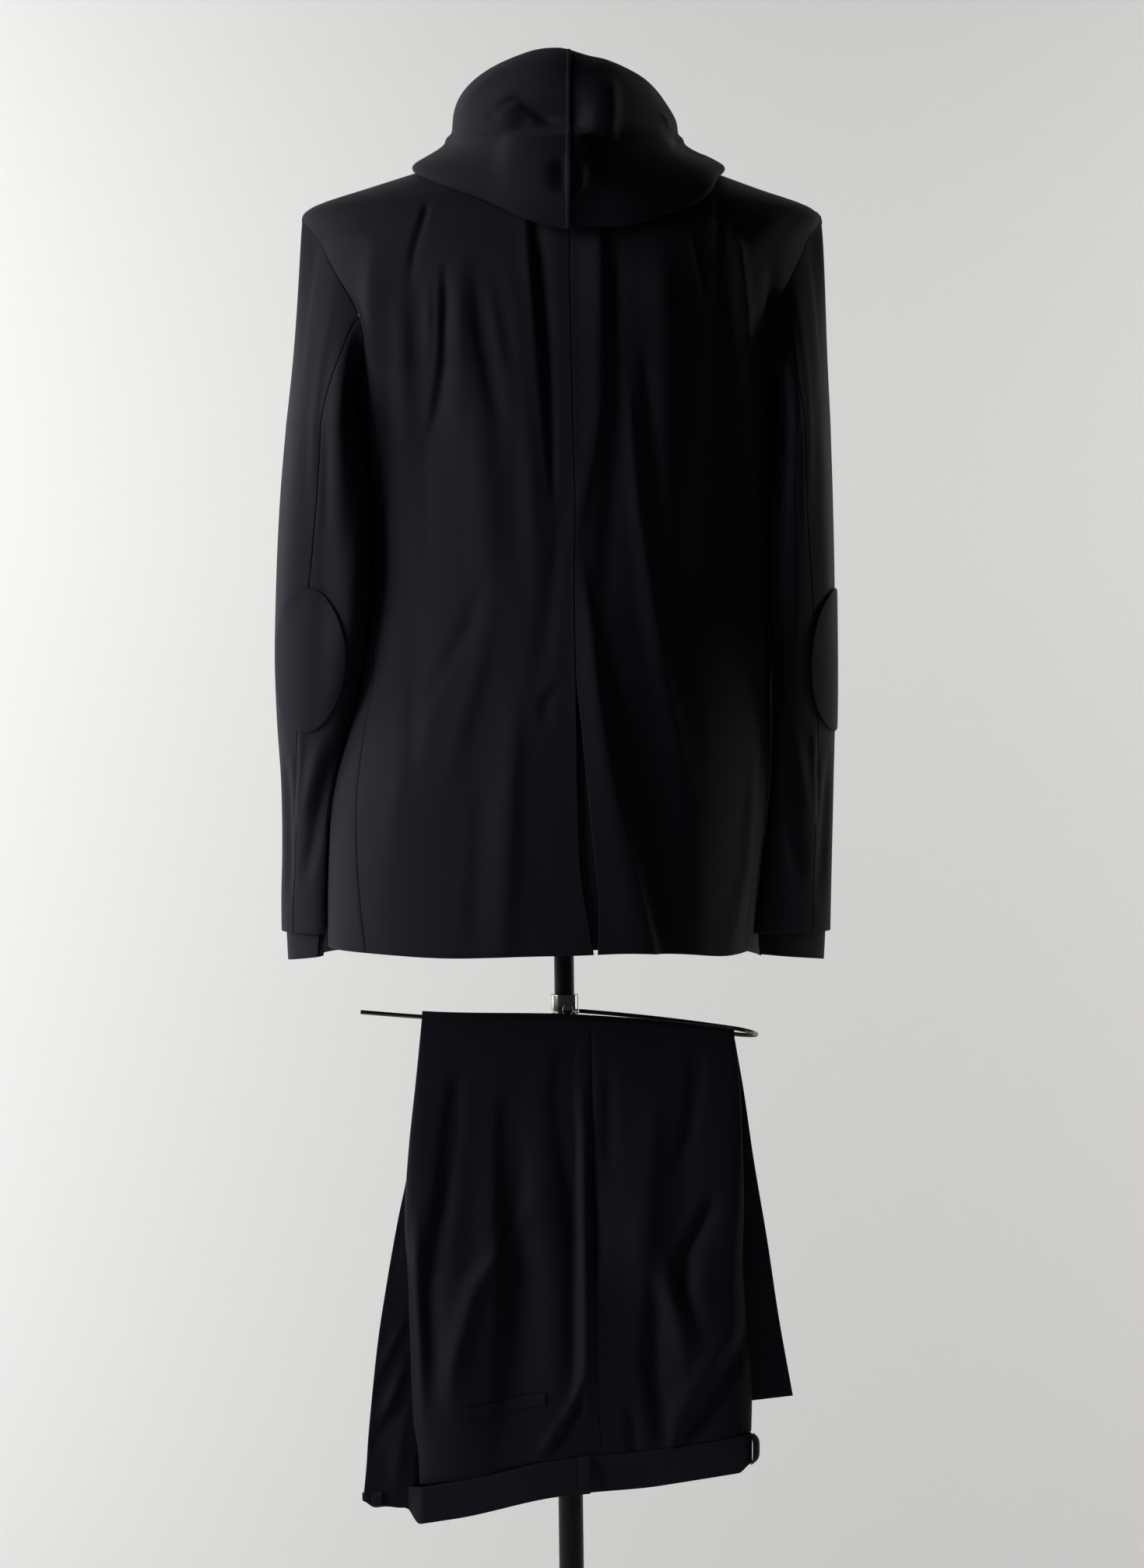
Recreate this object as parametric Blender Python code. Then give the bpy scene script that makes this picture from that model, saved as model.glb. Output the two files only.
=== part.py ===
# A hooded business suit on a limbless dress form stand, seen best from behind.
# The jacket hangs on the form, the trousers are folded over the stand's bar.
# Metres, +Z up. The wearer's front faces -Y, the wearer's left is +X.
# The origin is on the floor under the pole.

import math

import bmesh
import bpy
import numpy as np
from mathutils import Vector

# ---------------------------------------------------------------- driving sizes
cloth = 0.0016            # wall of the jacket
trouser_cloth = 0.0013    # wall of the trousers
seam_gap = 0.0003         # between two pieces that are sewn together
hem_height = 0.8196       # jacket hem above the floor
underarm_height = 1.330
shoulder_height = 1.500   # tip of the shoulder
neck_height = 1.551       # side of the neckline
armhole_turn = 31.0       # half width of the armhole, degrees round the body
vent_top = 1.067
break_height = 1.205      # where the lapel starts to roll
front_overlap = 0.018     # of the left front over the right
right_lapel_foot = 1.243  # below it the right lapel is under the left front
fronts_part = 1.292       # above it the two fronts no longer overlap
sleeve_end = 0.829
cap_end = 1.300           # where the sleeve cap becomes a plain tube
cuff_drop = 0.0275        # of the inner cuff below the sleeve
hood_end = 126.0          # degrees from the centre back to the hood's front edge
pole_radius = 0.0092
tube_radius = 0.0115
collar_top = 0.7745
collar_bottom = 0.7495
collar_radius = 0.0130
bar_front = 0.036         # from the pole's axis to the bar's front arm
bar_bend = -0.155         # where the bar turns round, right of the pole
bar_end = 0.191           # free end of the front arm, left of the pole
rod_radius = 0.0020
base_radius = 0.185
pole_foot = -0.0055  # the pole's middle on the floor
pole_slope = 0.0125  # its lean to the left
screw_height = 0.7615
form_bottom = 0.868


def table(names, *rows):
    """Rows under named columns, as one array for each column."""
    return dict(zip(names.split(), np.array(rows, float).T))


def along(rows, name, at):
    """A column read at any height by a smooth cubic through its rows."""
    x, y = rows["at"], rows[name]
    slope = np.gradient(y, x)
    at = np.clip(at, x[0], x[-1])
    k = np.clip(np.searchsorted(x, at) - 1, 0, len(x) - 2)
    step = x[k + 1] - x[k]
    t = (at - x[k]) / step
    return (
        (2 * t**3 - 3 * t**2 + 1) * y[k]
        + (t**3 - 2 * t**2 + t) * step * slope[k]
        + (3 * t**2 - 2 * t**3) * y[k + 1]
        + (t**3 - t**2) * step * slope[k + 1]
    )


def smooth(low, high, value):
    """0 below low, 1 above high, and a soft step between them."""
    t = np.clip((value - low) / (high - low), 0, 1)
    return t * t * (3 - 2 * t)


# ---------------------------------------------------------------- jacket body
# Each row is one ring of the body: its height, the ring's middle to the left,
# half width, depth to the back and to the front, how square it is, and how far
# the cloth has turned round the body there, in degrees.
body_rows = table(
    "at middle half back front square turn",
    (0.820, 0.027, 0.196, 0.122, 0.112, 2.3, -14.5),
    (0.896, 0.023, 0.199, 0.124, 0.112, 2.3, -9.8),
    (0.960, 0.017, 0.201, 0.124, 0.112, 2.25, -7.2),
    (1.024, 0.009, 0.195, 0.121, 0.111, 2.2, -4.8),
    (1.062, 0.004, 0.190, 0.118, 0.110, 2.2, -3.2),
    (1.110, 0.001, 0.190, 0.114, 0.108, 2.2, -2.0),
    (1.165, 0.000, 0.188, 0.111, 0.107, 2.2, -1.7),
    (1.240, 0.000, 0.190, 0.114, 0.111, 2.3, -1.7),
    (1.300, 0.002, 0.195, 0.119, 0.116, 2.4, -1.7),
    (1.348, 0.003, 0.201, 0.122, 0.118, 2.5, -1.7),
    (1.400, 0.005, 0.213, 0.121, 0.115, 2.5, -1.8),
    (1.434, 0.006, 0.222, 0.117, 0.110, 2.45, -1.8),
    (1.462, 0.006, 0.227, 0.111, 0.102, 2.4, -1.8),
    (1.500, 0.007, 0.226, 0.097, 0.088, 2.2, -1.5),
    (1.515, 0.006, 0.182, 0.090, 0.080, 2.1, -1.0),
    (1.530, 0.003, 0.138, 0.082, 0.072, 2.0, -0.5),
    (1.545, 0.001, 0.092, 0.074, 0.066, 2.0, 0.0),
    (1.552, 0.000, 0.073, 0.069, 0.062, 2.0, 0.0),
)

# Side seams, in degrees from the centre back.
seam_rows = table(
    "at side_back side_front",
    (0.820, 61.0, 118.0),
    (0.934, 62.5, 117.0),
    (1.080, 67.0, 115.0),
    (1.200, 66.5, 115.0),
    (1.348, 63.54, 116.46),
)

# Drape of the cloth: each row is one soft fold, raised or sunk, that runs from
# one place to another. Turn is in degrees from the centre back, left positive.
body_folds = table(
    "top_turn top_height low_turn low_height half_width rise",
    (46.0, 1.455, 62.0, 1.240, 4.0, 0.0055),
    (37.0, 1.455, 36.0, 1.235, 4.5, -0.0060),
    (26.0, 1.440, 24.0, 1.120, 5.0, 0.0040),
    (8.5, 1.480, 5.8, 1.215, 1.9, -0.0065),
    (13.5, 1.440, 11.0, 1.160, 3.0, 0.0035),
    (-4.5, 1.470, -8.0, 1.100, 2.6, 0.0055),
    (-12.0, 1.440, -13.0, 1.150, 3.5, -0.0050),
    (-21.0, 1.430, -19.0, 1.050, 4.5, 0.0040),
    (-31.0, 1.440, -28.0, 1.120, 4.0, -0.0045),
    (-42.0, 1.465, -60.0, 1.230, 4.0, 0.0055),
    (-52.0, 1.440, -66.0, 1.280, 3.0, -0.0045),
    (-5.0, 1.080, -11.0, 0.835, 4.0, 0.0060),
    (-17.0, 1.050, -24.0, 0.830, 6.0, -0.0040),
    (33.0, 1.120, 50.0, 0.900, 6.0, 0.0035),
    (20.0, 1.090, 36.0, 0.860, 6.0, -0.0030),
    (150.0, 1.330, 158.0, 1.060, 5.0, 0.0030),
    (-150.0, 1.330, -158.0, 1.060, 5.0, 0.0030),
    (132.0, 1.400, 140.0, 1.200, 4.5, -0.0035),
    (-132.0, 1.400, -140.0, 1.200, 4.5, -0.0035),
)
vent_rows = table(
    "at gap",
    (0.820, 0.0030),
    (0.860, 0.0110),
    (0.950, 0.0100),
    (1.000, 0.0060),
    (1.067, 0.0003),
)


def fold_relief(folds, turn, height):
    """Sum of rounded ridges and troughs, each fading out at both its ends."""
    total = np.zeros(np.broadcast(turn, height).shape)
    for k in range(len(folds["rise"])):
        span = folds["top_height"][k] - folds["low_height"][k]
        t = (folds["top_height"][k] - height) / span
        line = folds["top_turn"][k] + (folds["low_turn"][k] - folds["top_turn"][k]) * t
        fade = smooth(-0.12, 0.25, t) * (1 - smooth(0.70, 1.12, t))
        across = np.exp(-(((turn - line) / folds["half_width"][k]) ** 2))
        total = total + folds["rise"][k] * fade * across
    return total


def ring(angle, height, grow=0.0):
    """A point of the body's ring at an angle in degrees: a rounded box-like oval."""
    t = np.radians(angle)
    s, c = np.sin(t), np.cos(t)
    n = along(body_rows, "square", height)
    k = (np.abs(s) ** n + np.abs(c) ** n) ** (-1 / n)
    depth = np.where(c > 0, along(body_rows, "back", height), along(body_rows, "front", height))
    x = along(body_rows, "middle", height) + (along(body_rows, "half", height) + grow) * k * s
    return x, (depth + grow) * k * c


def hem_sag(x, height):
    """How far the hem hangs below its plain height, here and there."""
    bump = lambda middle, width: np.exp(-((x - middle) / width) ** 2)
    sag = 0.0028 * bump(0.110, 0.060) - 0.0018 * bump(-0.055, 0.035) + 0.0042 * bump(-0.145, 0.030)
    return sag * (1 - smooth(0.83, 0.95, height))


def body(turn, height):
    """The jacket's outer surface at turn degrees from its centre back."""
    turn, height = np.broadcast_arrays(np.asarray(turn, float), np.asarray(height, float))
    rise = fold_relief(body_folds, turn, height)
    x, y = ring(turn + twist(turn, height), height, rise)
    return np.stack([x, y, height - hem_sag(x, height)], axis=-1)


def twist(turn, height):
    """How far the cloth has turned round the body: all of it at the back, none in front."""
    return along(body_rows, "turn", height) * (1 + np.cos(np.radians(turn))) / 2


def body_gap(points):
    """Distance from the jacket's outer surface, and the way out, by its slope."""
    def out(p):
        x, y, height = p[..., 0], p[..., 1], p[..., 2]
        n = along(body_rows, "square", height)
        depth = np.where(y > 0, along(body_rows, "back", height), along(body_rows, "front", height))
        across = (x - along(body_rows, "middle", height)) / along(body_rows, "half", height)
        angle = np.degrees(np.arctan2(across, y / depth))
        reach = np.hypot(x - along(body_rows, "middle", height), y)
        share = (np.abs(across) ** n + np.abs(y / depth) ** n) ** (1 / n)
        rise = fold_relief(body_folds, angle - twist(angle, height), height)
        return reach - reach / np.maximum(share, 0.05) - rise
    step = 0.0004
    gap = out(points)
    slope = np.stack([(out(points + step * np.eye(3)[k]) - gap) / step for k in range(3)], axis=-1)
    steep = np.linalg.norm(slope, axis=-1, keepdims=True)
    return gap / steep[..., 0], slope / steep


def keep_clear(points, need):
    """Moves points straight out of the jacket until they are as far from it as needed."""
    for _ in range(4):
        gap, way = body_gap(points)
        points = points + way * np.clip(need - gap, 0, 0.02)[..., None]
    return points


def normals(surface, a, b, step_a=0.25, step_b=0.0006):
    """Unit normals of a surface of two parameters, from its slopes each way."""
    da = surface(a + step_a, b) - surface(a - step_a, b)
    db = surface(a, b + step_b) - surface(a, b - step_b)
    n = np.cross(da, db)
    return n / np.linalg.norm(n, axis=-1, keepdims=True)


def seam_degrees(turn, height):
    """Half a seam gap, as degrees round the body."""
    t = np.radians(turn)
    reach = np.hypot(along(body_rows, "half", height) * np.cos(t), along(body_rows, "back", height) * np.sin(t))
    return np.degrees(seam_gap / 2 / np.maximum(reach, 0.03))


def armhole_loop(phi):
    """Turn and height of the armhole's edge. phi is 0 at the shoulder and 180 underarm."""
    p = np.radians(phi)
    middle = (shoulder_height + underarm_height) / 2
    half = (shoulder_height - underarm_height) / 2
    turn = 90 - armhole_turn * np.sin(p) * (1 - 0.5 * np.cos(p))
    return turn, middle + half * np.cos(p)


def armhole_width(height):
    """How far the armhole's edge is from the side, in degrees, at a height."""
    half = (shoulder_height - underarm_height) / 2
    c = np.clip((height - underarm_height - half) / half, -1, 1)
    return armhole_turn * np.sqrt(1 - c * c) * (1 - 0.5 * c)


# The armhole's corners, which the panels and the sleeve share.
stations = np.array([0.0, 20.0, 42.0, 65.0, 88.0, 105.0, 124.0, 142.0, 161.0, 180.0])
seam_station = 142.0
seam_meets_armhole = float(armhole_loop(seam_station)[1])


def back_edge(height):
    """Outer edge of a back panel: side seam, then armhole, then shoulder seam."""
    low = along(seam_rows, "side_back", height)
    high = 90 - armhole_width(height)
    sewn = (height < seam_meets_armhole - 1e-6) | (height > shoulder_height)
    edge = np.where(height < seam_meets_armhole - 1e-6, low, high)
    return edge - np.where(sewn, seam_degrees(edge, height), 0)


def front_edge(height):
    """Outer edge of a front panel, the same way round the other side."""
    low = along(seam_rows, "side_front", height)
    high = 90 + armhole_width(height)
    sewn = (height < seam_meets_armhole - 1e-6) | (height > shoulder_height)
    edge = np.where(height < seam_meets_armhole - 1e-6, low, high)
    return edge + np.where(sewn, seam_degrees(edge, height), 0)


def roll_edge(height):
    """Inner edge of a front: straight to the break, then up the lapel's roll line."""
    t = np.clip((height - break_height) / (1.530 - break_height), 0, 1.07)
    reach = -front_overlap + t * (0.064 + front_overlap)
    half = along(body_rows, "half", height)
    return 180 - np.degrees(np.arcsin(np.clip(reach / half, -0.3, 0.93)))


low_rows = 11  # from the hem to the armhole, on every panel


def panel_heights():
    low = np.linspace(hem_height, seam_meets_armhole, low_rows, endpoint=False)
    arm = armhole_loop(stations[stations <= seam_station][::-1])[1]
    top = np.linspace(shoulder_height, neck_height, 5)[1:]
    return np.concatenate([low, arm, top])


# ---------------------------------------------------------------- making solids
def wall(name, outer, inner, material):
    """A closed solid between two grids of points, one object for one piece."""
    rows, columns = outer.shape[:2]
    mesh = bmesh.new()
    skins = []
    for grid in (outer, inner):
        skins.append([[mesh.verts.new(grid[i, j]) for j in range(columns)] for i in range(rows)])
    top, under = skins
    for i in range(rows - 1):
        for j in range(columns - 1):
            mesh.faces.new((top[i][j], top[i][j + 1], top[i + 1][j + 1], top[i + 1][j]))
            mesh.faces.new((under[i][j], under[i + 1][j], under[i + 1][j + 1], under[i][j + 1]))
    rim = [(0, j) for j in range(columns)] + [(i, columns - 1) for i in range(1, rows)]
    rim += [(rows - 1, j) for j in range(columns - 2, -1, -1)] + [(i, 0) for i in range(rows - 2, 0, -1)]
    for (i, j), (k, m) in zip(rim, rim[1:] + rim[:1]):
        mesh.faces.new((top[k][m], top[i][j], under[i][j], under[k][m]))
    return finish(name, mesh, material)


def tube_wall(name, outer, inner, material):
    """A closed tube between two grids whose columns run all the way round."""
    rows, columns = outer.shape[:2]
    mesh = bmesh.new()
    skins = []
    for grid in (outer, inner):
        skins.append([[mesh.verts.new(grid[i, j]) for j in range(columns)] for i in range(rows)])
    top, under = skins
    for j in range(columns):
        n = (j + 1) % columns
        for i in range(rows - 1):
            mesh.faces.new((top[i][j], top[i][n], top[i + 1][n], top[i + 1][j]))
            mesh.faces.new((under[i][j], under[i + 1][j], under[i + 1][n], under[i][n]))
        mesh.faces.new((top[0][n], top[0][j], under[0][j], under[0][n]))
        mesh.faces.new((top[-1][j], top[-1][n], under[-1][n], under[-1][j]))
    return finish(name, mesh, material)


def loft(name, rings, material):
    """A solid skinned over rings of points, with both ends filled."""
    rows, columns = rings.shape[:2]
    mesh = bmesh.new()
    verts = [[mesh.verts.new(rings[i, j]) for j in range(columns)] for i in range(rows)]
    for i in range(rows - 1):
        for j in range(columns):
            n = (j + 1) % columns
            mesh.faces.new((verts[i][j], verts[i][n], verts[i + 1][n], verts[i + 1][j]))
    mesh.faces.new(verts[0][::-1])
    mesh.faces.new(verts[-1])
    return finish(name, mesh, material)


def finish(name, mesh, material):
    """Turns the faces outwards and puts the object in the suit's collection."""
    bmesh.ops.triangulate(mesh, faces=mesh.faces)
    bmesh.ops.recalc_face_normals(mesh, faces=mesh.faces)
    if mesh.calc_volume(signed=True) < 0:
        bmesh.ops.reverse_faces(mesh, faces=mesh.faces)
    data = bpy.data.meshes.new(name)
    mesh.to_mesh(data)
    mesh.free()
    data.shade_smooth()
    data.set_sharp_from_angle(angle=math.radians(40))
    data.materials.append(material)
    thing = bpy.data.objects.new(name, data)
    parts.objects.link(thing)
    return thing


def grid(edge_low, edge_high, heights, columns):
    """Turn and height of each grid point between two edges that are functions of height."""
    share = np.linspace(0, 1, columns)[None, :]
    h = np.asarray(heights)[:, None] + np.zeros((1, columns))
    low, high = edge_low(heights)[:, None], edge_high(heights)[:, None]
    return low + (high - low) * share, h


def material(name, colour, roughness, metallic=0.0):
    made = bpy.data.materials.new(name)
    made.use_nodes = True
    shader = made.node_tree.nodes["Principled BSDF"]
    shader.inputs["Base Color"].default_value = (*colour, 1.0)
    shader.inputs["Roughness"].default_value = roughness
    shader.inputs["Metallic"].default_value = metallic
    return made


# ---------------------------------------------------------------- jacket pieces
def body_sheet(name, side, turn, height, lift):
    """A sheet of suit cloth for one side, its outer face lift above the body."""
    points = body(side * turn, height)
    up = outward(body, side * turn, height)
    lift = np.broadcast_to(np.asarray(lift, float), turn.shape)[..., None]
    return wall(name, points + up * lift, points + up * (lift - cloth), suit_cloth)


def outward(surface, a, b):
    """Normals of the body, turned away from its middle."""
    return -normals(surface, a, b)


def back_panels():
    heights = panel_heights()
    for side, label in ((1, "left"), (-1, "right")):
        def centre(h, side=side):
            gap = seam_degrees(0.0, h)
            if side < 0:
                opened = np.degrees(along(vent_rows, "gap", h) / along(body_rows, "half", h))
                gap = np.where(h < vent_top, np.maximum(opened, gap), gap)
            return gap
        turn, height = grid(centre, back_edge, heights, 12)
        height = neckline(turn, height)
        body_sheet(f"back_{label}", side, turn, height, 0.0)


def neckline(turn, height):
    """Lowers the top rows a little towards the centre back."""
    dip = 0.0035 * np.cos(np.radians(np.clip(turn, 0, 90))) ** 2
    share = np.clip((height - shoulder_height) / (neck_height - shoulder_height), 0, 1)
    return height - dip * share


def vent_underlap():
    heights = panel_heights()
    heights = np.append(heights[heights < vent_top], vent_top + 0.010)
    heights[0] = hem_height + 0.004

    def low(h):
        return -np.degrees(0.024 / along(body_rows, "half", h))

    def high(h):
        return np.degrees(0.018 / along(body_rows, "half", h))
    turn, height = grid(low, high, heights, 5)
    body_sheet("vent_underlap", 1, turn, height, -cloth - 0.0020)


def side_panels():
    low_stations = stations[stations >= seam_station]
    phi = np.concatenate([low_stations, 360 - low_stations[-2::-1]])[None, :]
    share = (phi - seam_station) / (360 - 2 * seam_station)
    top_turn, top_height = armhole_loop(phi)
    climb = np.linspace(0, 1, low_rows + 1)[:, None]
    height = hem_height + (top_height - hem_height) * climb
    low = along(seam_rows, "side_back", height)
    high = along(seam_rows, "side_front", height)
    low = low + seam_degrees(low, height)
    high = high - seam_degrees(high, height)
    straight = low + (high - low) * share
    turn = straight + (top_turn - straight) * climb**6
    turn = np.clip(turn, low, high)
    for side, label in ((1, "left"), (-1, "right")):
        body_sheet(f"side_{label}", side, turn, height, 0.0)


def front_lift(side, turn, height):
    """The left front passes over the right one below the lapels."""
    if side < 0:
        return np.zeros_like(turn)
    low = 1 - smooth(fronts_part, fronts_part + 0.07, height)
    return (cloth + 0.0009) * smooth(160, 172, turn) * low


def front_panels():
    heights = panel_heights()
    for side, label in ((1, "left"), (-1, "right")):
        turn, height = grid(front_edge, roll_edge, heights, 8)
        body_sheet(f"front_{label}", side, turn, height, front_lift(side, turn, height))


lapel_rows = table(
    "at width",
    (1.215, 0.006),
    (1.270, 0.034),
    (1.340, 0.060),
    (1.420, 0.080),
    (1.458, 0.088),
    (1.468, 0.060),
    (1.500, 0.055),
    (1.522, 0.047),
    (1.538, 0.040),
)


def lapel_edge(height):
    return roll_edge(height) - np.degrees(along(lapel_rows, "width", height) / along(body_rows, "half", height))


def covered_edge(height):
    """The right lapel's roll edge, cut short where the left front covers it."""
    return np.minimum(roll_edge(height), 360 - roll_edge(height) - 0.45)


def lapels():
    """Each lapel lies on its own front, from the break up to the neck, with a notch."""
    for side, label, foot, edge in (
        (1, "left", break_height + 0.010, roll_edge), (-1, "right", right_lapel_foot, covered_edge)
    ):
        heights = np.concatenate([np.linspace(foot, 1.458, 8), [1.468, 1.500, 1.522, 1.538]])
        turn, height = grid(lapel_edge, edge, heights, 5)
        body_sheet(f"lapel_{label}", side, turn, height, front_lift(side, turn, height) + cloth + 0.0012)


def buttons():
    for number, height in enumerate((1.185, 1.085), 1):
        spot = body(180.0, height)
        up = outward(body, np.array(180.0), np.array(height))
        out = cloth + 0.0035
        mesh = bmesh.new()
        made = bmesh.ops.create_cone(mesh, cap_ends=True, segments=20, radius1=0.0095, radius2=0.0088, depth=0.0028)
        turn_to = Vector(up).to_track_quat("Z", "Y").to_matrix().to_4x4()
        bmesh.ops.transform(mesh, matrix=turn_to, verts=made["verts"])
        bmesh.ops.translate(mesh, vec=tuple(spot + up * out), verts=made["verts"])
        finish(f"button_{number}", mesh, button_plastic)


# ---------------------------------------------------------------- sleeves
# Each row is one level of a sleeve: its outer and inner reach from the middle,
# its middle to the back, and half its depth.
left_sleeve = table(
    "at outer inner middle deep",
    (0.829, 0.270, 0.211, -0.058, 0.049),
    (0.858, 0.270, 0.210, -0.055, 0.051),
    (0.907, 0.2685, 0.206, -0.048, 0.054),
    (0.977, 0.2690, 0.198, -0.037, 0.058),
    (1.023, 0.2715, 0.192, -0.029, 0.062),
    (1.082, 0.2730, 0.186, -0.021, 0.066),
    (1.141, 0.2715, 0.181, -0.015, 0.070),
    (1.235, 0.2665, 0.182, -0.008, 0.074),
    (1.300, 0.2605, 0.190, -0.003, 0.078),
)
right_sleeve = table(
    "at outer inner middle deep",
    (0.829, 0.2460, 0.160, -0.062, 0.047),
    (0.881, 0.2465, 0.166, -0.055, 0.051),
    (0.984, 0.2475, 0.176, -0.039, 0.059),
    (1.046, 0.248, 0.180, -0.029, 0.064),
    (1.113, 0.247, 0.181, -0.020, 0.070),
    (1.224, 0.244, 0.181, -0.009, 0.077),
    (1.300, 0.241, 0.187, -0.003, 0.082),
)
sleeve_seam = table(
    "at back",
    (0.829, 58.0),
    (1.020, 64.0),
    (1.150, 76.0),
    (1.330, 95.0),
    (1.420, 105.0),
    (1.500, 105.0),
)
sleeve_folds = table(
    "top_turn top_height low_turn low_height half_width rise",
    (110.0, 1.380, 96.0, 1.200, 16.0, 0.0040),
    (135.0, 1.330, 120.0, 1.160, 12.0, -0.0040),
    (60.0, 1.300, 50.0, 1.120, 16.0, 0.0025),
    (95.0, 1.010, 70.0, 0.930, 12.0, 0.0045),
    (118.0, 1.000, 80.0, 0.880, 12.0, -0.0045),
    (40.0, 0.990, 48.0, 0.860, 10.0, -0.0030),
    (255.0, 1.180, 240.0, 1.060, 14.0, -0.0040),
    (285.0, 1.150, 270.0, 1.020, 14.0, 0.0035),
    (320.0, 1.260, 330.0, 1.060, 16.0, -0.0030),
)


sleeve_square = 2.4  # how square a sleeve's oval is
sleeve_lean = 0.022  # how far its back leans in towards the body
square_in = {1: 1.8, -1: 0.0}  # squarer still at the back beside the body, on the left
lean_in = {1: 0.015, -1: 0.0}  # and fuller there


def sleeve_level(side, phi, height):
    """A sleeve's oval at a height. phi is 0 outside, 90 at the back, 180 inside."""
    rows = left_sleeve if side > 0 else right_sleeve
    outer, inner = along(rows, "outer", height), along(rows, "inner", height)
    p = np.radians(phi)
    rise = fold_relief(sleeve_folds, np.mod(phi, 360), height)
    c, s = np.cos(p), np.sin(p)
    upper = smooth(1.00, 1.12, height)
    n = sleeve_square + square_in[side] * upper * smooth(0.0, 0.6, -c) * smooth(0.05, 0.5, s)
    k = (np.abs(c) ** n + np.abs(s) ** n) ** (-1 / n)
    x = (outer + inner) / 2 + ((outer - inner) / 2 + rise) * k * c
    y = along(rows, "middle", height) + (along(rows, "deep", height) + rise) * k * s
    y = y + (lean_in[side] * upper * smooth(0.0, 0.9, -c) - sleeve_lean * c) * np.clip(s, 0, 1)
    return np.stack([side * x, y, np.broadcast_to(height, x.shape)], axis=-1)


cap_reach = {1: -0.006, -1: 0.000}  # how much further the cap starts out at the shoulder point
cap_lean = {1: 0.07, -1: 0.0}  # how much more it slopes in there


def sleeve(side):
    """A sleeve's outer surface: run is 0 to 1 over the cap and 1 to 2 down the tube."""
    def surface(phi, run):
        phi, run = np.broadcast_arrays(np.asarray(phi, float), np.asarray(run, float))
        height = cap_end + (sleeve_end - cap_end) * np.clip(run - 1, 0, 1.2)
        tube = sleeve_level(side, phi, height)
        turn, high = armhole_loop(phi)
        edge = body(side * turn, high)
        out = outward(body, side * turn, high)
        step = armhole_loop(phi + 1.0)
        round_edge = body(side * step[0], step[1]) - edge
        into = np.cross(round_edge, out) * side
        into = into / np.linalg.norm(into, axis=-1, keepdims=True)
        bend = np.radians(5 + 70 * (1 - np.cos(np.radians(phi))) / 2)[..., None]
        start = edge + into * seam_gap
        lead = np.cos(bend) * into + np.sin(bend) * out
        p = np.radians(phi)
        reach_out = (0.011 + cap_reach[side] * np.cos(p))[..., None]
        reach_up = (0.050 + 0.045 * np.cos(p))[..., None]
        end = sleeve_level(side, phi, np.full_like(height, cap_end))
        inward = 0.05 + cap_lean[side] * (1 + np.cos(p)) / 2
        lean = np.stack([-side * inward, 0 * p, 0 * p + 1.0], axis=-1)
        a, b, c, d = start, start + lead * reach_out, end + lean * reach_up, end
        t = np.clip(run, 0, 1)[..., None]
        cap = (1 - t) ** 3 * a + 3 * (1 - t) ** 2 * t * b + 3 * (1 - t) * t**2 * c + t**3 * d
        points = np.where(run[..., None] < 1, cap, tube)
        return keep_clear(points, 0.0028 * smooth(0.15, 0.55, run) - 0.05 * (run < 0.15))
    return surface


def sleeve_normals(side, surface, phi, run):
    """Normals of a sleeve, away from its own middle line."""
    down = surface(phi, run + 0.01) - surface(phi, np.maximum(run - 0.01, 0))
    across = surface(phi + 1.0, run) - surface(phi - 1.0, run)
    n = np.cross(down, across) * side
    return n / np.linalg.norm(n, axis=-1, keepdims=True)


def sleeves():
    run = np.concatenate([np.linspace(0, 1, 6), np.linspace(1, 2, 11)[1:]])[:, None]
    height = np.where(
        run < 1, shoulder_height + (cap_end - shoulder_height) * run, cap_end + (sleeve_end - cap_end) * (run - 1)
    )
    half_gap = 0.16
    upper = stations[stations <= 105.0]
    over = np.concatenate([-upper[:0:-1], upper])
    lower = stations[stations >= 105.0]
    below = np.concatenate([lower, 360 - lower[-2::-1]])
    seam = along(sleeve_seam, "back", height)
    for side, label in ((1, "left"), (-1, "right")):
        surface = sleeve(side)
        for piece, low, high, columns in (
            ("top", -105.0 + half_gap + 0 * seam, seam - half_gap, over),
            ("under", seam + half_gap, 255.0 - half_gap + 0 * seam, below),
        ):
            share = (columns - columns[0]) / (columns[-1] - columns[0])
            phi = low + (high - low) * share[None, :]
            steps = run + 0 * phi
            points = surface(phi, steps)
            up = sleeve_normals(side, surface, phi, steps)
            wall(f"sleeve_{piece}_{label}", points, points - up * cloth, suit_cloth)
        inner_cuff(side, label, surface)
        elbow_patch(side, label)


def inner_cuff(side, label, surface):
    """The narrower second cuff, standing out under the sleeve's end."""
    phi = np.arange(0, 360, 22.5)[None, :]
    run = np.array([1.935, 2.0, 2.0])[:, None] + 0 * phi
    points = surface(phi, run)
    up = sleeve_normals(side, surface, phi, np.minimum(run, 1.98))
    gap = np.array([0.0031, 0.0031, 0.0044])[:, None, None]
    outside, inside = points - up * (cloth + gap), points - up * (2 * cloth + gap)
    drop = cuff_drop - 0.009 * (1 - np.cos(np.radians(phi[0]))) / 2
    outside[2, :, 2] -= drop
    inside[2, :, 2] -= drop
    tube_wall(f"inner_cuff_{label}", outside, inside, suit_cloth)


patch_lift = 0.0012
patch_half_height = 0.066
patch_half_width = 0.046
patch_height = 1.084
patch_turn = {1: 76.0, -1: 30.0}


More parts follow.
